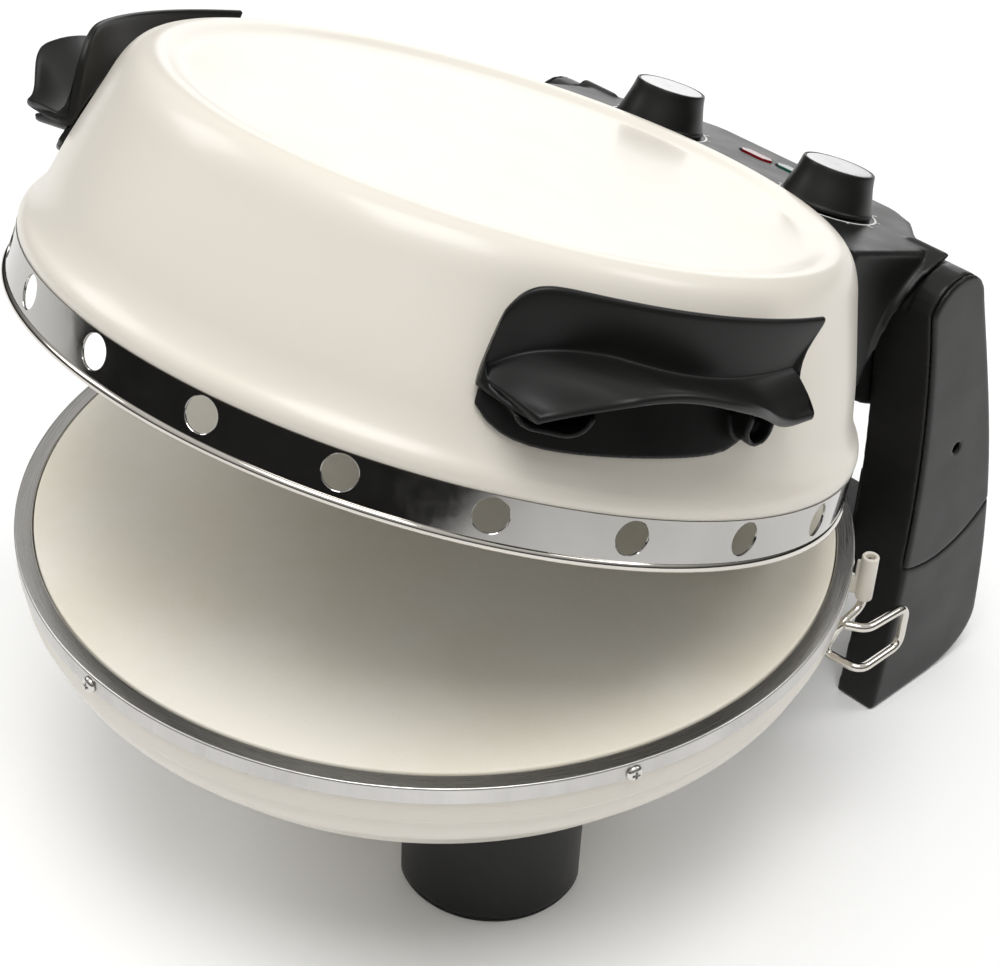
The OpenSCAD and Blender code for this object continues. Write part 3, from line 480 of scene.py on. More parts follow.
def sheet(path: Sequence[Point], thick: float) -> list[Point]:
    """Closed outline of a sheet drawn to the left of a path.

    Args:
        path: the sheet's outer line.
        thick: its thickness; negative lies to the right.

    Returns:
        The outline.
    """
    back = []
    for i, p in enumerate(path):
        a, b = path[max(i - 1, 0)], path[min(i + 1, len(path) - 1)]
        dx, dy = b[0] - a[0], b[1] - a[1]
        length = math.hypot(dx, dy)
        back.append((p[0] - dy / length * thick, p[1] + dx / length * thick))
    return list(path) + back[::-1]


def eased(outline: Sequence[Point], radius: float, steps: int = 3,
          limit: float = 25.0) -> list[Point]:
    """Round the sharp corners of a closed outline.

    Args:
        outline: the points.
        radius: how far from the corner the rounding starts.
        steps: pieces of each rounding.
        limit: turn in degrees below which a corner is left.

    Returns:
        The eased outline.
    """
    n = len(outline)
    out: list[Point] = []
    for i, p in enumerate(outline):
        a, b = Vector(outline[i - 1]), Vector(outline[(i + 1) % n])
        here = Vector(p)
        u, v = a - here, b - here
        if u.length < 1e-6 or v.length < 1e-6:
            out.append(p)
            continue
        turn = 180 - math.degrees(u.angle(v, math.pi))
        if turn < limit:
            out.append(p)
            continue
        reach = min(radius, u.length * 0.45, v.length * 0.45)
        s, e = here + u.normalized() * reach, here + v.normalized() * reach
        for k in range(steps + 1):
            t = k / steps
            q = s * (1 - t) ** 2 + here * 2 * t * (1 - t) + e * t * t
            out.append((q.x, q.y))
    return out


def smooth_way(points: Sequence[Vector], reach: float, steps: int = 8) -> list[Vector]:
    """A path with its corners rounded.

    Args:
        points: corners of the path.
        reach: distance from a corner at which its bend starts.
        steps: pieces of each bend.

    Returns:
        The rounded path.
    """
    out = [points[0]]
    for a, p, b in zip(points, points[1:], points[2:]):
        d = min(reach, (a - p).length * 0.48, (b - p).length * 0.48)
        s, e = p + (a - p).normalized() * d, p + (b - p).normalized() * d
        out += [s * (1 - t) ** 2 + p * 2 * t * (1 - t) + e * t * t
                for t in (k / steps for k in range(steps + 1))]
    out.append(points[-1])
    return out


def link_object(name: str, data: bpy.types.ID | None) -> bpy.types.Object:
    """Make an object from its data and put it in the scene."""
    made = bpy.data.objects.new(name, data)
    bpy.context.scene.collection.objects.link(made)
    return made


@contextmanager
def editing(mesh: bpy.types.Mesh, outwards: bool = True) -> Iterator[bmesh.types.BMesh]:
    """Open a mesh for editing and write it back afterwards.

    Args:
        mesh: the mesh.
        outwards: whether its faces are turned outwards at the end.

    Yields:
        The open mesh.
    """
    bm = bmesh.new()
    bm.from_mesh(mesh)
    yield bm
    if outwards:
        bmesh.ops.recalc_face_normals(bm, faces=bm.faces)
    bm.to_mesh(mesh)
    bm.free()


def merged(name: str, pieces: Iterable[bpy.types.Object]) -> bpy.types.Object:
    """Several objects as one.

    Args:
        name: the new object's name.
        pieces: the objects; they are removed.

    Returns:
        The object with all their faces.
    """
    bm = bmesh.new()
    for piece in pieces:
        bm.from_mesh(piece.data)
        bpy.data.objects.remove(piece)
    mesh = bpy.data.meshes.new(name)
    bm.to_mesh(mesh)
    bm.free()
    return link_object(name, mesh)


def ring_faces(rings: int, around: int) -> list[tuple[int, ...]]:
    """Faces between closed rings of points that follow one another.

    Args:
        rings: number of rings.
        around: points in each ring.

    Returns:
        The faces, ring by ring.
    """
    return [(i * around + k, i * around + (k + 1) % around,
             (i + 1) * around + (k + 1) % around, (i + 1) * around + k)
            for i in range(rings - 1) for k in range(around)]


def add_mesh(name: str, verts: Iterable[Sequence[float]], faces: Iterable[Sequence[int]],
             place: Matrix | None = None, smooth: bool = True) -> bpy.types.Object:
    """Make an object from millimetre points.

    Args:
        name: the piece's name.
        verts: points in millimetres.
        faces: indices.
        place: turn and shift applied in millimetres.
        smooth: whether faces shade smooth.

    Returns:
        The object, at the origin, in metres.
    """
    mesh = bpy.data.meshes.new(name)
    spot = place or Matrix.Identity(4)
    mesh.from_pydata([(spot @ Vector(v)) * MM for v in verts], [], [list(f) for f in faces])
    mesh.update()
    if smooth:
        mesh.shade_smooth()
    return link_object(name, mesh)


def settle(piece: bpy.types.Object, recalc: bool = False) -> bpy.types.Object:
    """Turn an object with modifiers into a plain mesh.

    Args:
        piece: the object.
        recalc: whether doubled points are joined and faces turned outwards.

    Returns:
        The same object with its modifiers applied and removed.
    """
    graph = bpy.context.evaluated_depsgraph_get()
    graph.update()
    mesh = bpy.data.meshes.new_from_object(piece.evaluated_get(graph), depsgraph=graph)
    piece.modifiers.clear()
    old = piece.data
    piece.data = mesh
    if old.users == 0:
        bpy.data.meshes.remove(old)
    if recalc:
        with editing(mesh) as bm:
            bmesh.ops.remove_doubles(bm, verts=bm.verts, dist=1e-6)
    return piece


def sweep(name: str, way: Sequence[Vector], radius: float, sides: int = 20) -> bpy.types.Object:
    """A round bar along a path, with domed ends.

    Args:
        name: the piece's name.
        way: the path in millimetres.
        radius: the bar's radius.
        sides: faces round it.

    Returns:
        The bar.
    """
    count = len(way)
    tangents = [(way[min(i + 1, count - 1)] - way[max(i - 1, 0)]).normalized()
                for i in range(count)]
    u = tangents[0].orthogonal().normalized()
    rings: list[tuple[Vector, Vector, Vector, float]] = []
    for p, t in zip(way, tangents):
        u = (u - t * u.dot(t)).normalized()
        rings.append((p, u.copy(), t.cross(u), radius))
    first, last = rings[0], rings[-1]
    crown = radius * 0.6
    cap = [(math.cos(a), math.sin(a)) for a in (0.35, 0.8, 1.2)]
    head = [(first[0] - tangents[0] * crown * s, first[1], first[2], radius * c)
            for c, s in reversed(cap)]
    tail = [(last[0] + tangents[-1] * crown * s, last[1], last[2], radius * c) for c, s in cap]
    rings = head + rings + tail
    turns = [2 * math.pi * k / sides for k in range(sides)]
    verts = [p + (a * math.cos(turn) + b * math.sin(turn)) * r
             for p, a, b, r in rings for turn in turns]
    faces = ring_faces(len(rings), sides)
    faces.append(tuple(range(sides))[::-1])
    faces.append(tuple((len(rings) - 1) * sides + k for k in range(sides)))
    return add_mesh(name, verts, faces)


def soft_copy(node: bpy.types.Object, name: str, voxel: float, passes: int) -> bpy.types.Object:
    """A copy of a frame node with its edges eased, as a moulding's are.

    Args:
        node: the frame node.
        name: the copy's name.
        voxel: size of the remeshing grid in millimetres.
        passes: smoothing passes.

    Returns:
        The eased copy.
    """
    mesh = node.data.copy()
    with editing(mesh, outwards=False) as bm:
        bmesh.ops.remove_doubles(bm, verts=bm.verts, dist=2e-6)
    made = link_object(name, mesh)
    grid = made.modifiers.new("grid", "REMESH")
    grid.mode = "VOXEL"
    grid.voxel_size = voxel * MM
    grid.use_smooth_shade = True
    ease = made.modifiers.new("ease", "CORRECTIVE_SMOOTH")
    ease.iterations = passes
    ease.smooth_type = "SIMPLE"
    ease.use_only_smooth = True
    ease.factor = 0.6
    return settle(made)


# ---------------------------------------------------------------------------
# Geometry Nodes
# ---------------------------------------------------------------------------


class Rule(Nodes):
    """A Geometry Nodes tree under construction."""

    def __init__(self, name: str) -> None:
        """Start a tree with a geometry input and output.

        Args:
            name: the tree's name.
        """
        super().__init__(bpy.data.node_groups.new(name, "GeometryNodeTree"))
        for way in ("INPUT", "OUTPUT"):
            self.tree.interface.new_socket("Geometry", in_out=way, socket_type="NodeSocketGeometry")
        self.entry = self.node("NodeGroupInput")
        self.exit = self.node("NodeGroupOutput")

    def input(self, name: str, kind: str, value: object = None) -> Socket:
        """Add a named input.

        Args:
            name: its name.
            kind: Float, Int, Material or Object.
            value: its default.

        Returns:
            The socket inside the tree.
        """
        made = self.tree.interface.new_socket(name, in_out="INPUT", socket_type=f"NodeSocket{kind}")
        if value is not None:
            made.default_value = value
        return self.entry.outputs[name]

    def close(self, geometry: Socket, material: Socket) -> None:
        """End the tree with real geometry in one material.

        Args:
            geometry: what the tree made.
            material: the material's socket.
        """
        real = self.node("GeometryNodeRealizeInstances", {0: geometry})
        dressed = self.node("GeometryNodeSetMaterial", {"Geometry": real.outputs[0],
                                                        "Material": material})
        self.link(dressed.outputs[0], self.exit.inputs[0])

    def apply(self, piece: bpy.types.Object, values: dict[str, object]) -> bpy.types.Object:
        """Run the tree on an object and keep the result as a plain mesh.

        Args:
            piece: the object whose mesh is the input.
            values: the named inputs.

        Returns:
            The object with the made mesh.
        """
        modifier = piece.modifiers.new(self.tree.name, "NODES")
        modifier.node_group = self.tree
        for item in self.tree.interface.items_tree:
            if item.item_type == "SOCKET" and item.in_out == "INPUT" and item.name in values:
                modifier[item.identifier] = values[item.name]
        return settle(piece)


def turning_rule() -> Rule:
    """The rule that turns an outline round the vertical axis.

    Returns:
        A tree that reads an outline of points in the XZ plane.
    """
    rule = Rule("turned_sheet")
    segments = rule.input("Segments", "Int", 256)
    count = rule.input("Outline points", "Int", 8)
    crease = rule.input("Crease angle", "Float", 0.6)
    material = rule.input("Material", "Material")
    rows = rule.maths("ADD", segments, 1)
    columns = rule.maths("ADD", count, 1)
    grid = rule.node("GeometryNodeMeshGrid", {"Size X": 1.0, "Size Y": 1.0,
                                              "Vertices X": rows, "Vertices Y": columns})
    index = rule.node("GeometryNodeInputIndex").outputs[0]
    row = rule.maths("FLOOR", rule.maths("DIVIDE", index, columns))
    column = rule.maths("SUBTRACT", index, rule.maths("MULTIPLY", row, columns))
    wrapped = rule.maths("MODULO", column, count)
    position = rule.node("GeometryNodeInputPosition").outputs[0]
    outline = rule.node("GeometryNodeSampleIndex", data_type="FLOAT_VECTOR", domain="POINT")
    rule.link(rule.entry.outputs["Geometry"], outline.inputs["Geometry"])
    rule.link(position, [s for s in outline.inputs if s.name == "Value" and s.enabled][0])
    rule.link(wrapped, outline.inputs["Index"])
    found = [s for s in outline.outputs if s.enabled][0]
    split = rule.node("ShaderNodeSeparateXYZ", {0: found})
    angle = rule.maths("MULTIPLY", rule.maths("DIVIDE", row, segments), 2 * math.pi)
    x = rule.maths("MULTIPLY", split.outputs[0], rule.maths("SINE", angle))
    y = rule.maths("MULTIPLY", split.outputs[0], rule.maths("COSINE", angle))
    spot = rule.vector(x, rule.maths("MULTIPLY", y, -1.0), split.outputs[2])
    moved = rule.node("GeometryNodeSetPosition", {"Geometry": grid.outputs["Mesh"],
                                                  "Position": spot})
    joined = rule.node("GeometryNodeMergeByDistance", {"Geometry": moved.outputs[0],
                                                       "Distance": 2e-6})
    fold = rule.node("GeometryNodeInputMeshEdgeAngle").outputs["Unsigned Angle"]
    soft = rule.maths("LESS_THAN", fold, crease)
    shaded = rule.node("GeometryNodeSetShadeSmooth", {"Geometry": joined.outputs[0],
                                                      "Shade Smooth": True}, domain="FACE")
    creased = rule.node("GeometryNodeSetShadeSmooth", {"Geometry": shaded.outputs[0],
                                                       "Shade Smooth": soft}, domain="EDGE")
    rule.close(creased.outputs[0], material)
    return rule


def repeat_rule() -> Rule:
    """The rule that sets one shape at each point of the input, turned by an angle.

    Returns:
        A tree that reads points with a "turn" attribute.
    """
    rule = Rule("repeated_fitting")
    shape = rule.input("Shape", "Object")
    material = rule.input("Material", "Material")
    source = rule.node("GeometryNodeObjectInfo", {"Object": shape})
    turn = rule.node("GeometryNodeInputNamedAttribute", {"Name": "turn"}, data_type="FLOAT_VECTOR")
    value = [s for s in turn.outputs if s.enabled and s.name == "Attribute"][0]
    points = rule.node("GeometryNodeMeshToPoints", {"Mesh": rule.entry.outputs["Geometry"]})
    set_out = rule.node("GeometryNodeInstanceOnPoints", {
        "Points": points.outputs[0], "Instance": source.outputs["Geometry"], "Rotation": value})
    rule.close(set_out.outputs[0], material)
    return rule


@dataclass
class Workshop:
    """The tools that every sub-assembly shares."""

    frame: dict
    finishes: Finishes
    turning: Rule
    repeating: Rule

    def turned(self, name: str, outline: Sequence[Point], finish: str,
               place: Matrix | None = None, segments: int = 256,
               crease: float = 35.0) -> bpy.types.Object:
        """Turn an outline into a round piece.

        Args:
            name: the piece's name.
            outline: radius and height of each point, anticlockwise.
            finish: the material slot.
            place: turn and shift in millimetres.
            segments: faces round the axis.
            crease: folds sharper than this stay sharp, in degrees.

        Returns:
            The piece.
        """
        seed = add_mesh(name, [(r, 0, z) for r, z in outline], [])
        self.turning.apply(seed, {"Segments": segments, "Outline points": len(outline),
                                  "Crease angle": math.radians(crease),
                                  "Material": self.finishes.made[finish]})
        with editing(seed.data) as bm:
            bmesh.ops.dissolve_degenerate(bm, edges=bm.edges, dist=1e-7)
        if place is not None:
            self.put(seed, place)
        return seed

    def put(self, piece: bpy.types.Object, place: Matrix) -> None:
        """Move a piece's mesh by a millimetre matrix."""
        spot = place.copy()
        spot.translation = spot.translation * MM
        piece.data.transform(spot)

    def repeated(self, name: str, shape: bpy.types.Object,
                 spots: Sequence[tuple[Vector, Vector]], finish: str,
                 place: Matrix | None = None, euler: bool = False) -> bpy.types.Object:
        """Set one shape at several spots.

        Args:
            name: the piece's name.
            shape: the object to repeat; it is removed afterwards.
            spots: point in millimetres and the direction its local Z takes.
            finish: the material slot.
            place: turn and shift in millimetres.
            euler: whether the second value is a rotation in radians instead.

        Returns:
            The piece with all the copies.
        """
        seed = add_mesh(name, [p for p, _ in spots], [], smooth=False)
        turns = seed.data.attributes.new("turn", "FLOAT_VECTOR", "POINT")
        for item, (_, way) in zip(turns.data, spots):
            item.vector = way if euler else way.to_track_quat("Z", "X").to_euler()
        self.repeating.apply(seed, {"Shape": shape, "Material": self.finishes.made[finish]})
        bpy.data.objects.remove(shape)
        if place is not None:
            self.put(seed, place)
        return seed

    def fit(self, piece: bpy.types.Object, body: str, finish: str, *nodes: str) -> None:
        """Hand a finished piece to the frame.

        Args:
            piece: the piece.
            body: the body that it rides on.
            finish: the material slot.
            nodes: frame nodes that it stands for.
        """
        if not piece.data.materials:
            piece.data.materials.append(self.finishes.made[finish])
        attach(piece, body)
        if nodes:
            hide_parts(*nodes)
        LOG.info("%s: %d faces on %s", piece.name, len(piece.data.polygons), body)

    def ease_node(self, node: str, body: str, finish: str, voxel: float = 0.9,
                  passes: int = 4) -> bpy.types.Object:
        """Replace a frame node by its eased copy.

        Args:
            node: the node's name.
            body: the body that it rides on.
            finish: the material slot.
            voxel: grid in millimetres.
            passes: smoothing passes.

        Returns:
            The eased piece.
        """
        piece = soft_copy(self.frame["nodes"][node], f"{node}_moulding", voxel, passes)
        piece.data.materials.clear()
        self.fit(piece, body, finish, node)
        return piece


def cross_head(name: str, radius: float, height: float) -> bpy.types.Object:
    """Head of a cross-recessed screw, standing on the XY plane.

    Args:
        name: the object's name.
        radius: the head's radius.
        height: the head's height.

    Returns:
        The head with its shank.
    """
    bm = bmesh.new()
    rings = [(0.55, -3.0), (0.55, 0.0), (1.0, 0.0), (1.0, 0.28), (0.93, 0.55), (0.78, 0.8),
             (0.58, 0.94), (0.5, 0.97)]
    sides = 32
    turns = [2 * math.pi * k / sides for k in range(sides)]
    loops = [[bm.verts.new((radius * r * math.cos(a), radius * r * math.sin(a),
                            z if z < 0 else z * height)) for a in turns] for r, z in rings]
    for a, b in zip(loops, loops[1:]):
        for k in range(sides):
            bm.faces.new((a[k], a[(k + 1) % sides], b[(k + 1) % sides], b[k]))
    bm.faces.new(loops[0][::-1])
    arm, slot, deep = radius * 0.5, radius * 0.13, height * 0.35

    def cross(reach: float, z: float) -> list[bmesh.types.BMVert]:
        """The cross's twelve corners at height z, with arms as long as reach."""
        out = []
        for q in range(4):
            c, s = math.cos(q * math.pi / 2), math.sin(q * math.pi / 2)
            for x, y in ((reach, -slot), (reach, slot), (slot, slot)):
                out.append(bm.verts.new((x * c - y * s, x * s + y * c, z)))
        return out

    rim, floor = cross(arm, height), cross(arm * 0.72, deep)
    for k in range(12):
        bm.faces.new((rim[k], rim[(k + 1) % 12], floor[(k + 1) % 12], floor[k]))
    bm.faces.new(floor)
    top = loops[-1]
    for q in range(4):
        span = [top[(q * 8 + j - 4) % sides] for j in range(9)]
        a, b, c = rim[q * 3], rim[q * 3 + 1], rim[q * 3 + 2]
        before = rim[(q * 3 - 1) % 12]
        bm.faces.new((before, *span[0:4], a))
        bm.faces.new((a, *span[3:6], b))
        bm.faces.new((b, *span[5:9], c))
    bmesh.ops.recalc_face_normals(bm, faces=bm.faces)
    mesh = bpy.data.meshes.new(name)
    bmesh.ops.scale(bm, vec=(MM, MM, MM), verts=bm.verts)
    bm.to_mesh(mesh)
    bm.free()
    mesh.shade_smooth()
    return link_object(name, mesh)


# ---------------------------------------------------------------------------
# sub-assemblies
# ---------------------------------------------------------------------------


@dataclass(frozen=True)
class Lid:
    """Where the lid stands at rest, and the sizes that its sub-assemblies share."""

    hinge_y: float = 178.0
    hinge_z: float = 181.0
    shut_y: float = 2.3
    shut_z: float = 132.5
    angle: float = 19.8
    lip_r: float = 158.9
    knob_x: float = 45.2
    knob_y: float = 147.5
    panel_z: float = 81.6

    @property
    def place(self) -> Matrix:
        """Matrix from the lid's own frame to the part's frame, in millimetres."""
        turn = Matrix.Rotation(-math.radians(self.angle), 4, "X")
        back = Matrix.Translation((0, self.shut_y - self.hinge_y, self.shut_z - self.hinge_z))
        return Matrix.Translation((0, self.hinge_y, self.hinge_z)) @ turn @ back


@dataclass
class Well:
    """Pan, trim ring and stone of the lower half."""

    shop: Workshop
    stone_r: float = 155.0
    stone_t: float = 12.0
    ring_r: float = 162.25
    ring_z: float = 130.0
    ring_t: float = 1.2
    pan_t: float = 1.5
    screws: int = 5

    def ring(self) -> bpy.types.Object:
        """Trim ring: brushed top, rolled outer corner, upright side."""
        r, z, t = self.ring_r, self.ring_z, self.ring_t
        line = [(self.stone_r + 0.35, z - 2.3), (self.stone_r + 0.35, z), (r, z), (r, z - 7),
                (r - t, z - 7), (r - t, z - t), (self.stone_r + 1.3, z - t),
                (self.stone_r + 1.3, z - 2.3)]
        return self.shop.turned("trim_ring_sheet", eased(line[::-1], 0.9, 4), "brushed_steel",
                                segments=320)

    def pan(self) -> bpy.types.Object:
        """Cream pan with its step and rounded shoulder."""
        r, z, t = self.ring_r, self.ring_z, self.ring_t
        path = [(r - t - 0.3, z - 2.6), (r - t - 0.3, z - 16.4), (r - t - 0.65, z - 17.4),
                (r - 2.6, z - 18.1), (r - 3.4, z - 18.7)]
        path += cubic((r - 3.6, z - 19.4), (r - 4.6, z - 26), (r - 7, z - 31), (r - 12, z - 36), 14)
        path += cubic((r - 12, z - 36), (r - 19, z - 43), (r - 23, z - 52), (r - 29, z - 52), 16)
        path += [(r - 30, z - 52), (60, z - 52), (0, z - 52)]
        return self.shop.turned("pan_enamelled", sheet(path, -self.pan_t), "cream_enamel",
                                segments=288)

    def slab(self) -> bpy.types.Object:
        """Stone with a softened arris."""
        top, r = self.ring_z + 0.4, self.stone_r - 0.1
        line = [(0, top - self.stone_t), (r, top - self.stone_t), (r, top), (0, top)]
        return self.shop.turned("stone_slab", eased(line, 1.1, 5), "refractory", segments=288)

    def ring_screws(self) -> bpy.types.Object:
        """Cross-head screws round the ring."""
        spots = []
        for i in range(self.screws):
            a = 2 * math.pi * i / self.screws
            out = Vector((math.sin(a), -math.cos(a), 0))
            spots.append((out * (self.ring_r + 0.05) + Vector((0, 0, self.ring_z - 4.4)), out))
        return self.shop.repeated("ring_screw_heads", cross_head("head", 3.1, 1.9), spots,
                                  "screw_steel")

    def build(self) -> None:
        """Make and fit all the pieces."""
        self.shop.fit(self.ring(), "base", "brushed_steel", "trim_ring")
        self.shop.fit(self.pan(), "base", "cream_enamel", "base_pan")
        self.shop.fit(self.slab(), "base", "refractory", "stone")
        self.shop.fit(self.ring_screws(), "base", "screw_steel", "ring_screws")


@dataclass
class Supports:
    """Uprights and feet, eased from the frame's own solids."""

    shop: Workshop

    def build(self) -> None:
        """Make and fit all the pieces."""
        for side in Side:
            end = side.name.lower()
            for node, voxel in (("cover", 0.7), ("post", 0.85), ("front_foot", 0.9)):
                self.shop.ease_node(f"{node}_{end}", "base", "black_moulding", voxel)


@dataclass
class Bails:
    """Bright wires at the sides of the pan, each hung in a rolled knuckle."""

    shop: Workshop
    x: float = 138.0
    y: float = 96.0
    foot_z: float = 114.0
    wire: float = 1.75

    def wire_piece(self, side: Side) -> bpy.types.Object:
        """One wire, bent as a hook below its knuckle.

        Args:
            side: which side of the oven.

        Returns:
            The wire.
        """
        x, y, z = self.x, self.y, self.foot_z
        way = [(x, y, z + 18), (x, y, z - 4.3), (x, y - 13, z - 7), (x - 5, y - 14, z - 22.5),
               (x + 12, y - 12, z - 22.5), (x + 12, y + 12, z - 22.5), (x + 12, y + 12, z - 3.5),
               (x + 11, y - 11, z - 3), (x + 4.4, y - 15.6, z - 2.6)]
        path = [Vector((side.value * p[0], p[1], p[2])) for p in way]
        return sweep(f"bail_wire_{side.name.lower()}", smooth_way(path, 5.2, 10), self.wire, 24)

    def build(self) -> None:
        """Make and fit both wires and brackets."""
        for side, body in ((Side.RIGHT, "bail_r"), (Side.LEFT, "bail_l")):
            end = side.name.lower()
            piece = settle(self.wire_piece(side), True)
            self.shop.fit(piece, body, "bright_wire", f"bail_{end}")
            self.shop.ease_node(f"bail_bracket_{end}", "base", "cream_enamel", 0.3, 3)


@dataclass
class Dome:
    """The lid's outside: enamelled dome, polished band with vents, bright lip."""

    shop: Workshop
    lid: Lid
    band_h: float = 16.0
    shell_t: float = 1.2
    vents: int = 21
    vent_r: float = 5.9
    vent_z: float = 9.2
    blank: float = 34.0
    band_taper: float = 0.9
    lip_roll_r: float = 1.6

    def band_r(self, z: float) -> float:
        """Radius of the band's outer face at a height."""
        return self.lid.lip_r - self.band_taper * z / self.band_h

    def shell(self) -> bpy.types.Object:
        """Dome with bead, neck, sloping wall, rolled crest and sunk top."""
        r = self.lid.lip_r
        path = [(r - 1.3, self.band_h + 0.1)]
        path += cubic((r - 1.25, self.band_h + 0.5), (r - 0.5, 18), (r - 0.7, 21),
                      (r - 3.4, 23.6), 14)
        path += cubic((r - 3.4, 23.6), (r - 5.5, 26), (r - 7.5, 31), (r - 8.6, 35.6), 12)
        path += cubic((r - 8.6, 35.6), (r - 11.5, 47), (r - 16.5, 60), (r - 20.9, 73.1), 16)
        path += cubic((r - 20.9, 73.1), (r - 23.5, 81), (r - 27, 86.5), (r - 33, 86.9), 22)
        path += cubic((r - 33, 86.9), (r - 39, 87.1), (r - 40, 84.1), (r - 47, 84.1), 16)
        path += [(r - 47, 84.1), (r - 60, 84.1), (0, 84.1)]
        return self.shop.turned("dome_enamelled", sheet(path, self.shell_t), "cream_enamel",
                                self.lid.place, 320)

    def bay(self, name: str, vented: bool) -> bpy.types.Object:
        """One bay of the band, as wide as the vents' pitch, round the front.

        Args:
            name: the object's name.
            vented: whether the bay has its round vent.

        Returns:
            The bay in metres, at the lid's axis.
        """
        half = math.pi / self.vents
        wide = half * self.lid.lip_r
        rays = [2 * math.pi * (k + 0.5) / 56 for k in range(56)]
        rays += [math.atan2(z, side * wide) % (2 * math.pi)
                 for side in (-1, 1) for z in (self.band_h - self.vent_z, -self.vent_z)]
        rays.sort()
        n = len(rays)

        def at(ray: float, share: float, depth: float, extra: float) -> tuple[float, float, float]:
            """Point on a ray from the vent's rim (0) to the bay's border (1)."""
            c, d = math.cos(ray), math.sin(ray)
            top = self.band_h - self.vent_z if d > 0 else self.vent_z
            reach = min(wide / max(abs(c), 1e-9), top / max(abs(d), 1e-9))
            q = self.vent_r + extra + (reach - self.vent_r - extra) * share
            z = self.vent_z + q * d
            u = q * c / self.lid.lip_r
            r = self.band_r(z) - depth
            return (r * math.sin(u), -r * math.cos(u), z)

        shares, edge = (1.0, 0.7, 0.3, 0.05, 0.0), 0.2
        front = [(share, 0.0, edge) for share in shares]
        rim = [(0.0, 0.2, 0.0), (0.0, 0.8, 0.0)] if vented else []
        loops = front + rim + [(share, 1.0, edge) for share in reversed(shares)]
        verts = [at(ray, *loop) for loop in loops for ray in rays]
        faces = ring_faces(len(loops), n)
        if not vented:
            del faces[(len(front) - 1) * n:len(front) * n]
        for base, flip in ((len(front) - 1, False), (len(front), True)) if not vented else ():
            base *= n
            middle = len(verts)
            verts.append((0.0, -(self.band_r(self.vent_z) - float(flip)), self.vent_z))
            for k in range(n):
                tri = (base + k, base + (k + 1) % n, middle)
                faces.append(tri[::-1] if flip else tri)
        last = (len(loops) - 1) * n
        for k in range(n):
            mid = (verts[k][2] + verts[(k + 1) % n][2]) / 2
            if mid < 0.01 or mid > self.band_h - 0.01:
                faces.append((last + k, last + (k + 1) % n, (k + 1) % n, k))
        return add_mesh(name, verts, faces)

    def band(self) -> bpy.types.Object:
        """Polished band: bays with vents all round, and blank bays at the rear."""
        spots: dict[bool, list[tuple[Vector, Vector]]] = {True: [], False: []}
        for i in range(self.vents):
            a = 360 * i / self.vents
            turn = Vector((0, 0, math.radians(a)))
            spots[abs(a - 180) > self.blank].append((Vector(), turn))
        bays = [self.shop.repeated(f"band_bays_{int(vented)}", self.bay("bay", vented), places,
                                   "polished_steel", euler=True)
                for vented, places in spots.items()]
        piece = merged("vent_band_sheet", bays)
        mesh = piece.data
        with editing(mesh) as bm:
            bmesh.ops.remove_doubles(bm, verts=bm.verts, dist=2e-5)
        mesh.shade_smooth()
        self.even_normals(mesh)
        self.shop.put(piece, self.lid.place)
        return piece

    def even_normals(self, mesh: bpy.types.Mesh) -> None:
        """Give the band's broad faces the normals of a true cone, so that they mirror evenly.

        Args:
            mesh: the band, round its own axis.
        """
        normals = []
        slope = math.atan(self.band_taper / self.band_h)
        lean = Vector((math.cos(slope), math.sin(slope)))
        for face in mesh.polygons:
            centre = face.center
            out = Vector((centre.x, centre.y, 0)).normalized()
            facing = face.normal.dot(out)
            for loop in face.loop_indices:
                spot = mesh.vertices[mesh.loops[loop].vertex_index].co
                here = Vector((spot.x, spot.y, 0)).normalized()
                smooth = Vector((here.x * lean.x, here.y * lean.x, lean.y))
                broad = abs(facing) > 0.9
                normals.append(smooth * math.copysign(1, facing) if broad else face.normal)
        mesh.normals_split_custom_set(normals)

    def lip(self) -> bpy.types.Object:
        """Bright rolled edge under the band."""
        r, sides = self.lip_roll_r, 28
        line = [(self.lid.lip_r - 0.5 + r * math.cos(a), -0.2 + r * math.sin(a))
                for a in (2 * math.pi * k / sides for k in range(sides))]
        return self.shop.turned("lip_roll", line, "bright_wire", self.lid.place, 320, 80)

    def build(self) -> None:
        """Make and fit all the pieces."""
        self.shop.fit(self.shell(), "lid", "cream_enamel", "lid_shell")
        self.shop.fit(self.band(), "lid", "polished_steel", "vent_band")
        self.shop.fit(self.lip(), "lid", "bright_wire", "lid_lip")


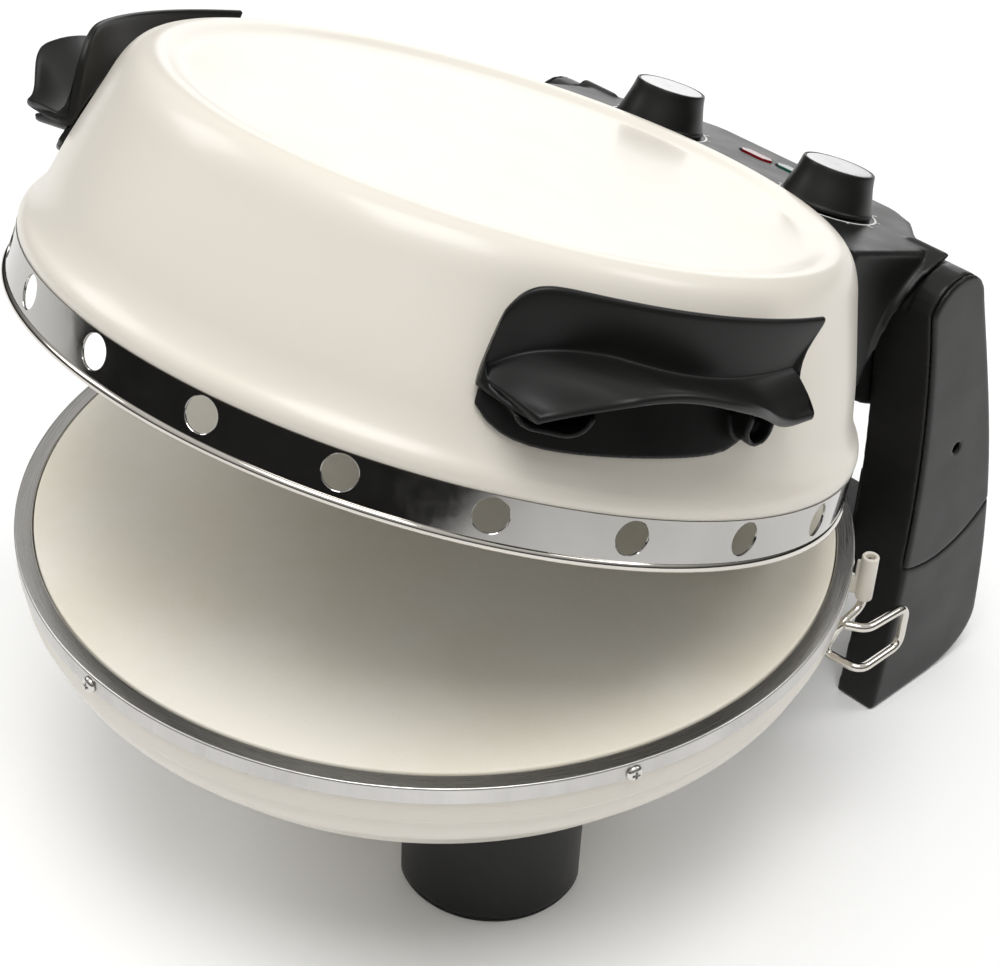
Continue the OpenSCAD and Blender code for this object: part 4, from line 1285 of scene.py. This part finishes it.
@dataclass
class Grips:
    """Side grips: an upright guard and a shelf in one flowing shape, on a bracket."""

    shop: Workshop
    lid: Lid
    start: float = 45.6
    end: float = 87.0
    thick: float = 3.0
    bulge: float = 14.0
    lean: float = 3.2
    crease_in: float = 7.9
    wall_in: float = 7.4
    wall_slope: float = 0.328
    wall_foot: float = 35.6

    @staticmethod
    def crease(t: float) -> float:
        """Height of the inner corner."""
        return (64 - 14.9 * (1 - t) ** 9 - 2.6 * math.sin(math.pi * max(0.0, (t - 0.35) / 0.6))
                + 1.6 * t ** 8)

    @staticmethod
    def guard(t: float) -> float:
        """Height of the guard's upper edge."""
        return 81.6 - 12 * (1 - t) ** 26 + 2 * t ** 3

    def widening(self, t: float) -> float:
        """How far the shelf stands out beyond its narrow ends."""
        rise = min(1.0, t / 0.24)
        fall = min(1.0, (1 - t) / 0.5)
        return self.bulge * rise * rise * (3 - 2 * rise) * fall * fall * (3 - 2 * fall)

    def shelf(self, t: float) -> float:
        """Height of the shelf's outer edge."""
        rise = 3.2 * math.exp(-((t - 0.36) / 0.2) ** 2)
        dip = 3.4 * math.exp(-((t - 0.86) / 0.14) ** 2)
        return 55.3 - 8 * (1 - t) ** 5 + 1.3 * t ** 6 + rise - dip + 0.49 * self.widening(t)

    def shelf_r(self, t: float) -> float:
        """Radius of the shelf's outer edge."""
        return self.lid.lip_r - 2.3 + 12.8 * (1 - t) ** 2.6 + 4 * t ** 3 + self.widening(t)

    def section(self, t: float, side: Side) -> list[Vector]:
        """Outline of the grip at one place along it.

        Args:
            t: place from 0 at the front to 1 at the back.
            side: which side of the oven.

        Returns:
            Points of the outline.
        """
        c, g, z, r, k = (self.crease(t), self.guard(t), self.shelf(t), self.shelf_r(t),
                         self.lid.lip_r - self.crease_in)
        w, lean = self.thick, self.lean
        wall = self.lid.lip_r - self.wall_in - self.wall_slope * (c - self.wall_foot)

        def at(lead: float, trail: float, radius: float, height: float) -> Vector:
            """A point whose ends reach past the crease by lead and trail degrees."""
            a = math.radians(self.start + lead + (self.end + trail - self.start - lead) * t)
            return Vector((side.value * radius * math.sin(a), -radius * math.cos(a), height))

        top, mid, out = (0.8, 3.0), (0.4, 1.5), (6.5, 2.2)
        return [at(*top, k - 6 + lean, g - 1.2), at(*top, k - 5.4 + lean, g - 0.25),
                at(*top, k - 4.5 + lean, g), at(*top, k - 3.5 + lean, g - 0.3),
                at(*top, k - 3.0 + lean, g - 1.4), at(*mid, k - 1.9 + lean / 2, (c + g) / 2 + 1),
                at(0, 0, k - 0.9, c + 1.5), at(0, 0, k - 0.7, c + 0.45),
                at(0, 0, k - 0.4, c + 0.12), at(0, 0, k + 0.6, c - 0.02),
                at(3.2, 1.1, (k + r) / 2 + 0.5, (c + z) / 2 + 0.6),
                at(*out, r - 2.0, z + 0.4), at(*out, r - 0.6, z - 0.05), at(*out, r, z - 1.3),
                at(*out, r - 0.3, z - w + 0.1), at(*out, r - 1.4, z - w - 0.3),
                at(3.2, 1.1, (k + r) / 2 + 0.3, (c + z) / 2 - w - 0.3),
                at(0, 0, k + 1.4, c - w - 0.7), at(0, 0, k - 1.2, c - w - 0.9),
                at(0, 0, wall + 0.7, c - w + 0.2), at(0, 0, wall, c + 1.2),
                at(*mid, k - 4.9 + lean / 2, (c + g) / 2 + 1)]

    def grip(self, side: Side) -> bpy.types.Object:
        """One grip as a smooth closed loft.

        Args:
            side: which side of the oven.

        Returns:
            The grip.
        """
        stations = [0.0, 0.004, 0.012] + [0.025 + 0.95 * (i / 36) ** 1.25 for i in range(37)]
        stations += [0.988, 0.996, 1.0]
        rows = [self.section(t, side) for t in stations]
        n = len(rows[0])
        verts = [v for row in rows for v in row]
        faces = ring_faces(len(rows), n)
        last = (len(rows) - 1) * n
        for base, flip in ((0, False), (last, True)):
            cap = [(base, base + 1, base + n - 1)]
            lo, hi = 1, n - 1
            while hi - lo > 2:
                cap.append((base + lo, base + lo + 1, base + hi - 1, base + hi))
                lo, hi = lo + 1, hi - 1
            if hi - lo == 2:
                cap.append((base + lo, base + lo + 1, base + hi))
            faces += [tuple(reversed(f)) if flip else f for f in cap]
        piece = add_mesh(f"grip_{side.name.lower()}_moulding", verts, faces, self.lid.place)
        with editing(piece.data) as bm:
            bm.normal_update()
        soft = piece.modifiers.new("soft", "SUBSURF")
        soft.levels = soft.render_levels = 1
        return settle(piece)

    def build(self) -> None:
        """Make and fit grips and brackets."""
        for side in Side:
            end = side.name.lower()
            self.shop.fit(self.grip(side), "lid", "black_moulding", f"grip_{end}")
            self.shop.ease_node(f"grip_bracket_{end}", "lid", "black_moulding", 0.55, 4)


@dataclass
class Housing:
    """Rear panel with the printed scales round its knobs."""

    shop: Workshop
    lid: Lid
    scale_r: float = 20.6
    scale_start: float = 120.0
    scale_turn: float = 300.0
    ticks: int = 10
    tick_gap: float = 0.95
    print_low: float = 0.02
    print_top: float = 0.16
    dome_r: float = 136.5

    def strip(self, name: str, turn: float, inner: float, outer: float,
              count: int) -> bpy.types.Object:
        """Thin raised arc that starts at the X axis.

        Args:
            name: the object's name.
            turn: how far it runs in degrees.
            inner: its inner radius.
            outer: its outer radius.
            count: pieces along it.

        Returns:
            The strip round the origin.
        """
        verts = [(r * math.cos(a), r * math.sin(a), z)
                 for a in (math.radians(turn * i / count) for i in range(count + 1))
                 for r, z in ((inner, self.print_low), (outer, self.print_low),
                              (outer, self.print_top), (inner, self.print_top))]
        faces = ring_faces(count + 1, 4)
        faces += [(0, 3, 2, 1), tuple(count * 4 + k for k in range(4))]
        return add_mesh(name, verts, faces, smooth=False)

    def scale(self, name: str, x: float) -> bpy.types.Object:
        """Printed arc with long and short ticks round a knob.

        Args:
            name: the piece's name.
            x: the knob's place.

        Returns:
            The print, cut off where the dome stands in its way.
        """
        home = Vector((x, self.lid.knob_y, self.lid.panel_z))
        parts = []
        for first, outer, width in ((0, 3.4, 2.2), (1, 2.4, 1.4)):
            turns = [self.scale_start + self.scale_turn * i / self.ticks - width / 2
                     for i in range(first, self.ticks + 1, 2)]
            tick = self.strip("tick", width, self.scale_r + self.tick_gap, self.scale_r + outer, 3)
            parts.append(self.shop.repeated(f"{name}_ticks_{first}", tick, [
                (home, Vector((0, 0, math.radians(turn)))) for turn in turns], "white_print",
                euler=True))
        arc = self.strip("arc", self.scale_turn, self.scale_r, self.scale_r + 0.9, 120)
        start = Vector((0, 0, math.radians(self.scale_start)))
        parts.append(self.shop.repeated(f"{name}_arc", arc, [(home, start)], "white_print",
                                        euler=True))
        piece = merged(name, parts)
        with editing(piece.data) as bm:
            hidden = [v for v in bm.verts if math.hypot(v.co.x, v.co.y) < self.dome_r * MM]
            bmesh.ops.delete(bm, geom=hidden, context="VERTS")
            edges = [e for e in bm.edges if e.is_boundary]
            bmesh.ops.holes_fill(bm, edges=edges, sides=8)
        self.shop.put(piece, self.lid.place)
        return piece

    def build(self) -> None:
        """Make and fit the panel and its prints."""
        self.shop.ease_node("panel", "lid", "black_moulding", 0.95, 5)
        left = self.scale("scale_print_left", -self.lid.knob_x)
        right = self.scale("scale_print_right", self.lid.knob_x)
        self.shop.fit(left, "lid", "white_print", "dial_marks")
        self.shop.fit(right, "lid", "white_print")


@dataclass
class Knobs:
    """Two knobs, each with a brushed disc let into its top."""

    shop: Workshop
    lid: Lid
    clearance: float = 0.6
    bore_r: float = 3.1
    foot_r: float = 19.0
    height: float = 16.4
    rim: float = 4.4

    def knob(self, name: str) -> bpy.types.Object:
        """Tapered body with a thin foot lip and a rim round its top.

        Args:
            name: the piece's name.

        Returns:
            The knob, standing at the origin.
        """
        foot, top, h = self.foot_r, self.foot_r - self.rim, self.height
        line = [(self.bore_r, 0.9), (foot - 2.6, 0.9), (foot - 2.2, 0), (foot, 0), (foot, 1.5),
                (foot - 0.6, 1.9)]
        line += cubic((foot - 0.7, 2.2), (foot - 1.5, 6), (top + 0.9, 11), (top + 0.4, h - 1.4), 8)
        line += [(top + 0.4, h - 1.4), (top + 0.1, h), (top - 0.9, h), (top - 0.9, h - 1.1),
                 (self.bore_r, h - 1.1)]
        return self.shop.turned(name, eased(line, 0.45, 3), "black_moulding", None, 128)

    def disc(self, name: str) -> bpy.types.Object:
        """Brushed disc, slightly crowned with a turned edge.

        Args:
            name: the piece's name.

        Returns:
            The disc, standing at the origin.
        """
        top, z = self.foot_r - self.rim - 0.95, self.height - 1.05
        line = [(0, z), (top, z), (top, z + 0.75), (top - 0.4, z + 1.0), (top - 3, z + 1.15),
                (0, z + 1.3)]
        return self.shop.turned(name, eased(line, 0.3, 3), "brushed_disc", None, 128)

    def build(self) -> None:
        """Make and fit both knobs."""
        for side, body, word in ((Side.LEFT, "knob_t", "time"), (Side.RIGHT, "knob_h", "heat")):
            shift = Matrix.Translation((side.value * self.lid.knob_x, self.lid.knob_y,
                                         self.lid.panel_z + self.clearance))
            for piece, finish, node in (
                (self.knob(f"{word}_knob_body"), "black_moulding", f"knob_{word}"),
                (self.disc(f"{word}_knob_face"), "brushed_disc", f"knob_{word}_disc"),
            ):
                self.shop.put(piece, self.lid.place @ shift)
                self.shop.fit(piece, body, finish, node)


# ---------------------------------------------------------------------------
# studio
# ---------------------------------------------------------------------------


@dataclass
class Studio:
    """Floor, light and the camera."""

    azimuth: float = 46.96
    elevation: float = 36.48
    distance: float = 812.15
    roll: float = -1.83
    focal_px: float = 2077.35
    aim: tuple[float, float, float] = (0.0, 0.0, 130.0)
    aim_px: Point = (438.18, 495.19)
    frame_px: Point = (1000.0, 966.0)
    floor_half: float = 2300.0
    sensor_mm: float = 36.0
    sky: tuple[Point, ...] = ((0.0, 0.02), (0.12, 0.03), (0.32, 0.2), (0.6, 0.6), (1.0, 0.78))
    lamp_aim: tuple[float, float, float] = (0, 0, 0.15)
    lamps: tuple[tuple[str, tuple[float, float, float], float, float], ...] = (
        ("key", (0.5, -0.5, 2.6), 1.3, 35),
        ("left", (-1.9, -0.8, 1.9), 1.0, 13),
        ("rear_right", (0.96, 1.5, 1.9), 0.7, 8),
        ("rear_left", (-1.55, 2.1, 0.6), 1.3, 9),
    )

    def camera(self) -> None:
        """Place the camera from its bearing and the pixel that its aim lands on."""
        a, e, roll = (math.radians(v) for v in (self.azimuth, self.elevation, self.roll))
        back = Vector((math.sin(a) * math.cos(e), -math.cos(a) * math.cos(e), math.sin(e)))
        right = (-back).cross(Vector((0, 0, 1))).normalized()
        up = right.cross(-back).normalized()
        spot = Vector(self.aim) + back * self.distance
        base = Matrix((right, up, back))
        spin = Matrix(((math.cos(roll), -math.sin(roll), 0), (math.sin(roll), math.cos(roll), 0),
                       (0, 0, 1)))
        ray = Vector(((self.aim_px[0] - self.frame_px[0] / 2) / self.focal_px,
                      -(self.aim_px[1] - self.frame_px[1] / 2) / self.focal_px, -1)).normalized()
        tilt = Vector((0, 0, -1)).rotation_difference(ray).to_matrix()
        turn = (tilt @ spin @ base).transposed()
        data = bpy.data.cameras.new("photo_camera")
        data.sensor_width = self.sensor_mm
        data.lens = self.focal_px * self.sensor_mm / self.frame_px[0]
        data.clip_start, data.clip_end = 0.05, 40
        camera = link_object("photo_camera", data)
        camera.matrix_world = Matrix.Translation(spot * MM) @ turn.to_4x4()
        bpy.context.scene.camera = camera

    def floor(self) -> None:
        """Plain pale floor that keeps the object's shadow."""
        w = self.floor_half
        made = add_mesh("studio_floor", [(-w, -w, -0.2), (w, -w, -0.2), (w, w, -0.2),
                                         (-w, w, -0.2)], [(0, 1, 2, 3)])
        s = Shader("floor_paper")
        s.paint(s.ramp(s.noise(3, 2), [(0.3, (0.955, 0.955, 0.955)), (0.7, (0.97, 0.97, 0.97))]))
        s.set(Roughness=0.9)
        made.data.materials.append(s.material)

    def lamp(self, name: str, spot: Sequence[float], size: float, watts: float) -> None:
        """One soft square lamp that faces the object.

        Args:
            name: its name.
            spot: its place in metres.
            size: its width in metres.
            watts: its power.
        """
        data = bpy.data.lights.new(name, "AREA")
        data.shape = "SQUARE"
        data.size = size
        data.energy = watts
        made = link_object(name, data)
        made.location = spot
        way = Vector(self.lamp_aim) - Vector(spot)
        made.rotation_euler = way.to_track_quat("-Z", "Y").to_euler()

    def light(self) -> None:
        """Soft sky that the camera sees as white, and the lamps."""
        world = bpy.data.worlds.new("studio")
        bpy.context.scene.world = world
        world.use_nodes = True
        world.node_tree.nodes.clear()
        tree = Nodes(world.node_tree)
        where = tree.node("ShaderNodeTexCoord").outputs["Generated"]
        height = tree.node("ShaderNodeSeparateXYZ", {0: where}).outputs["Z"]
        sky = tree.ramp(height, [(at, (grey, grey, grey * 0.98)) for at, grey in self.sky])
        lit = tree.node("ShaderNodeBackground", {"Color": sky})
        seen = tree.node("ShaderNodeBackground", {"Color": (1, 1, 1, 1), "Strength": 1.0})
        direct = tree.node("ShaderNodeLightPath").outputs["Is Camera Ray"]
        mix = tree.node("ShaderNodeMixShader", {0: direct, 1: lit.outputs[0], 2: seen.outputs[0]})
        tree.node("ShaderNodeOutputWorld", {0: mix.outputs[0]})
        for row in self.lamps:
            self.lamp(*row)

    def build(self) -> None:
        """Set up the whole studio."""
        self.camera()
        self.floor()
        self.light()
        bpy.context.scene.view_settings.view_transform = "Standard"


def main() -> None:
    """Build the scene."""
    logging.basicConfig(level=logging.INFO, format="%(name)s %(message)s")
    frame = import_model()
    finishes = Finishes()
    finishes.build()
    finishes.dress_frame(frame)
    Studio().build()
    shop = Workshop(frame, finishes, turning_rule(), repeat_rule())
    lid = Lid()
    builders: list[Callable[[], None]] = [
        Well(shop).build,
        Supports(shop).build,
        Bails(shop).build,
        Dome(shop, lid).build,
        Grips(shop, lid).build,
        Housing(shop, lid).build,
        Knobs(shop, lid).build,
    ]
    for build in builders:
        build()


if __name__ == "__main__":
    main()
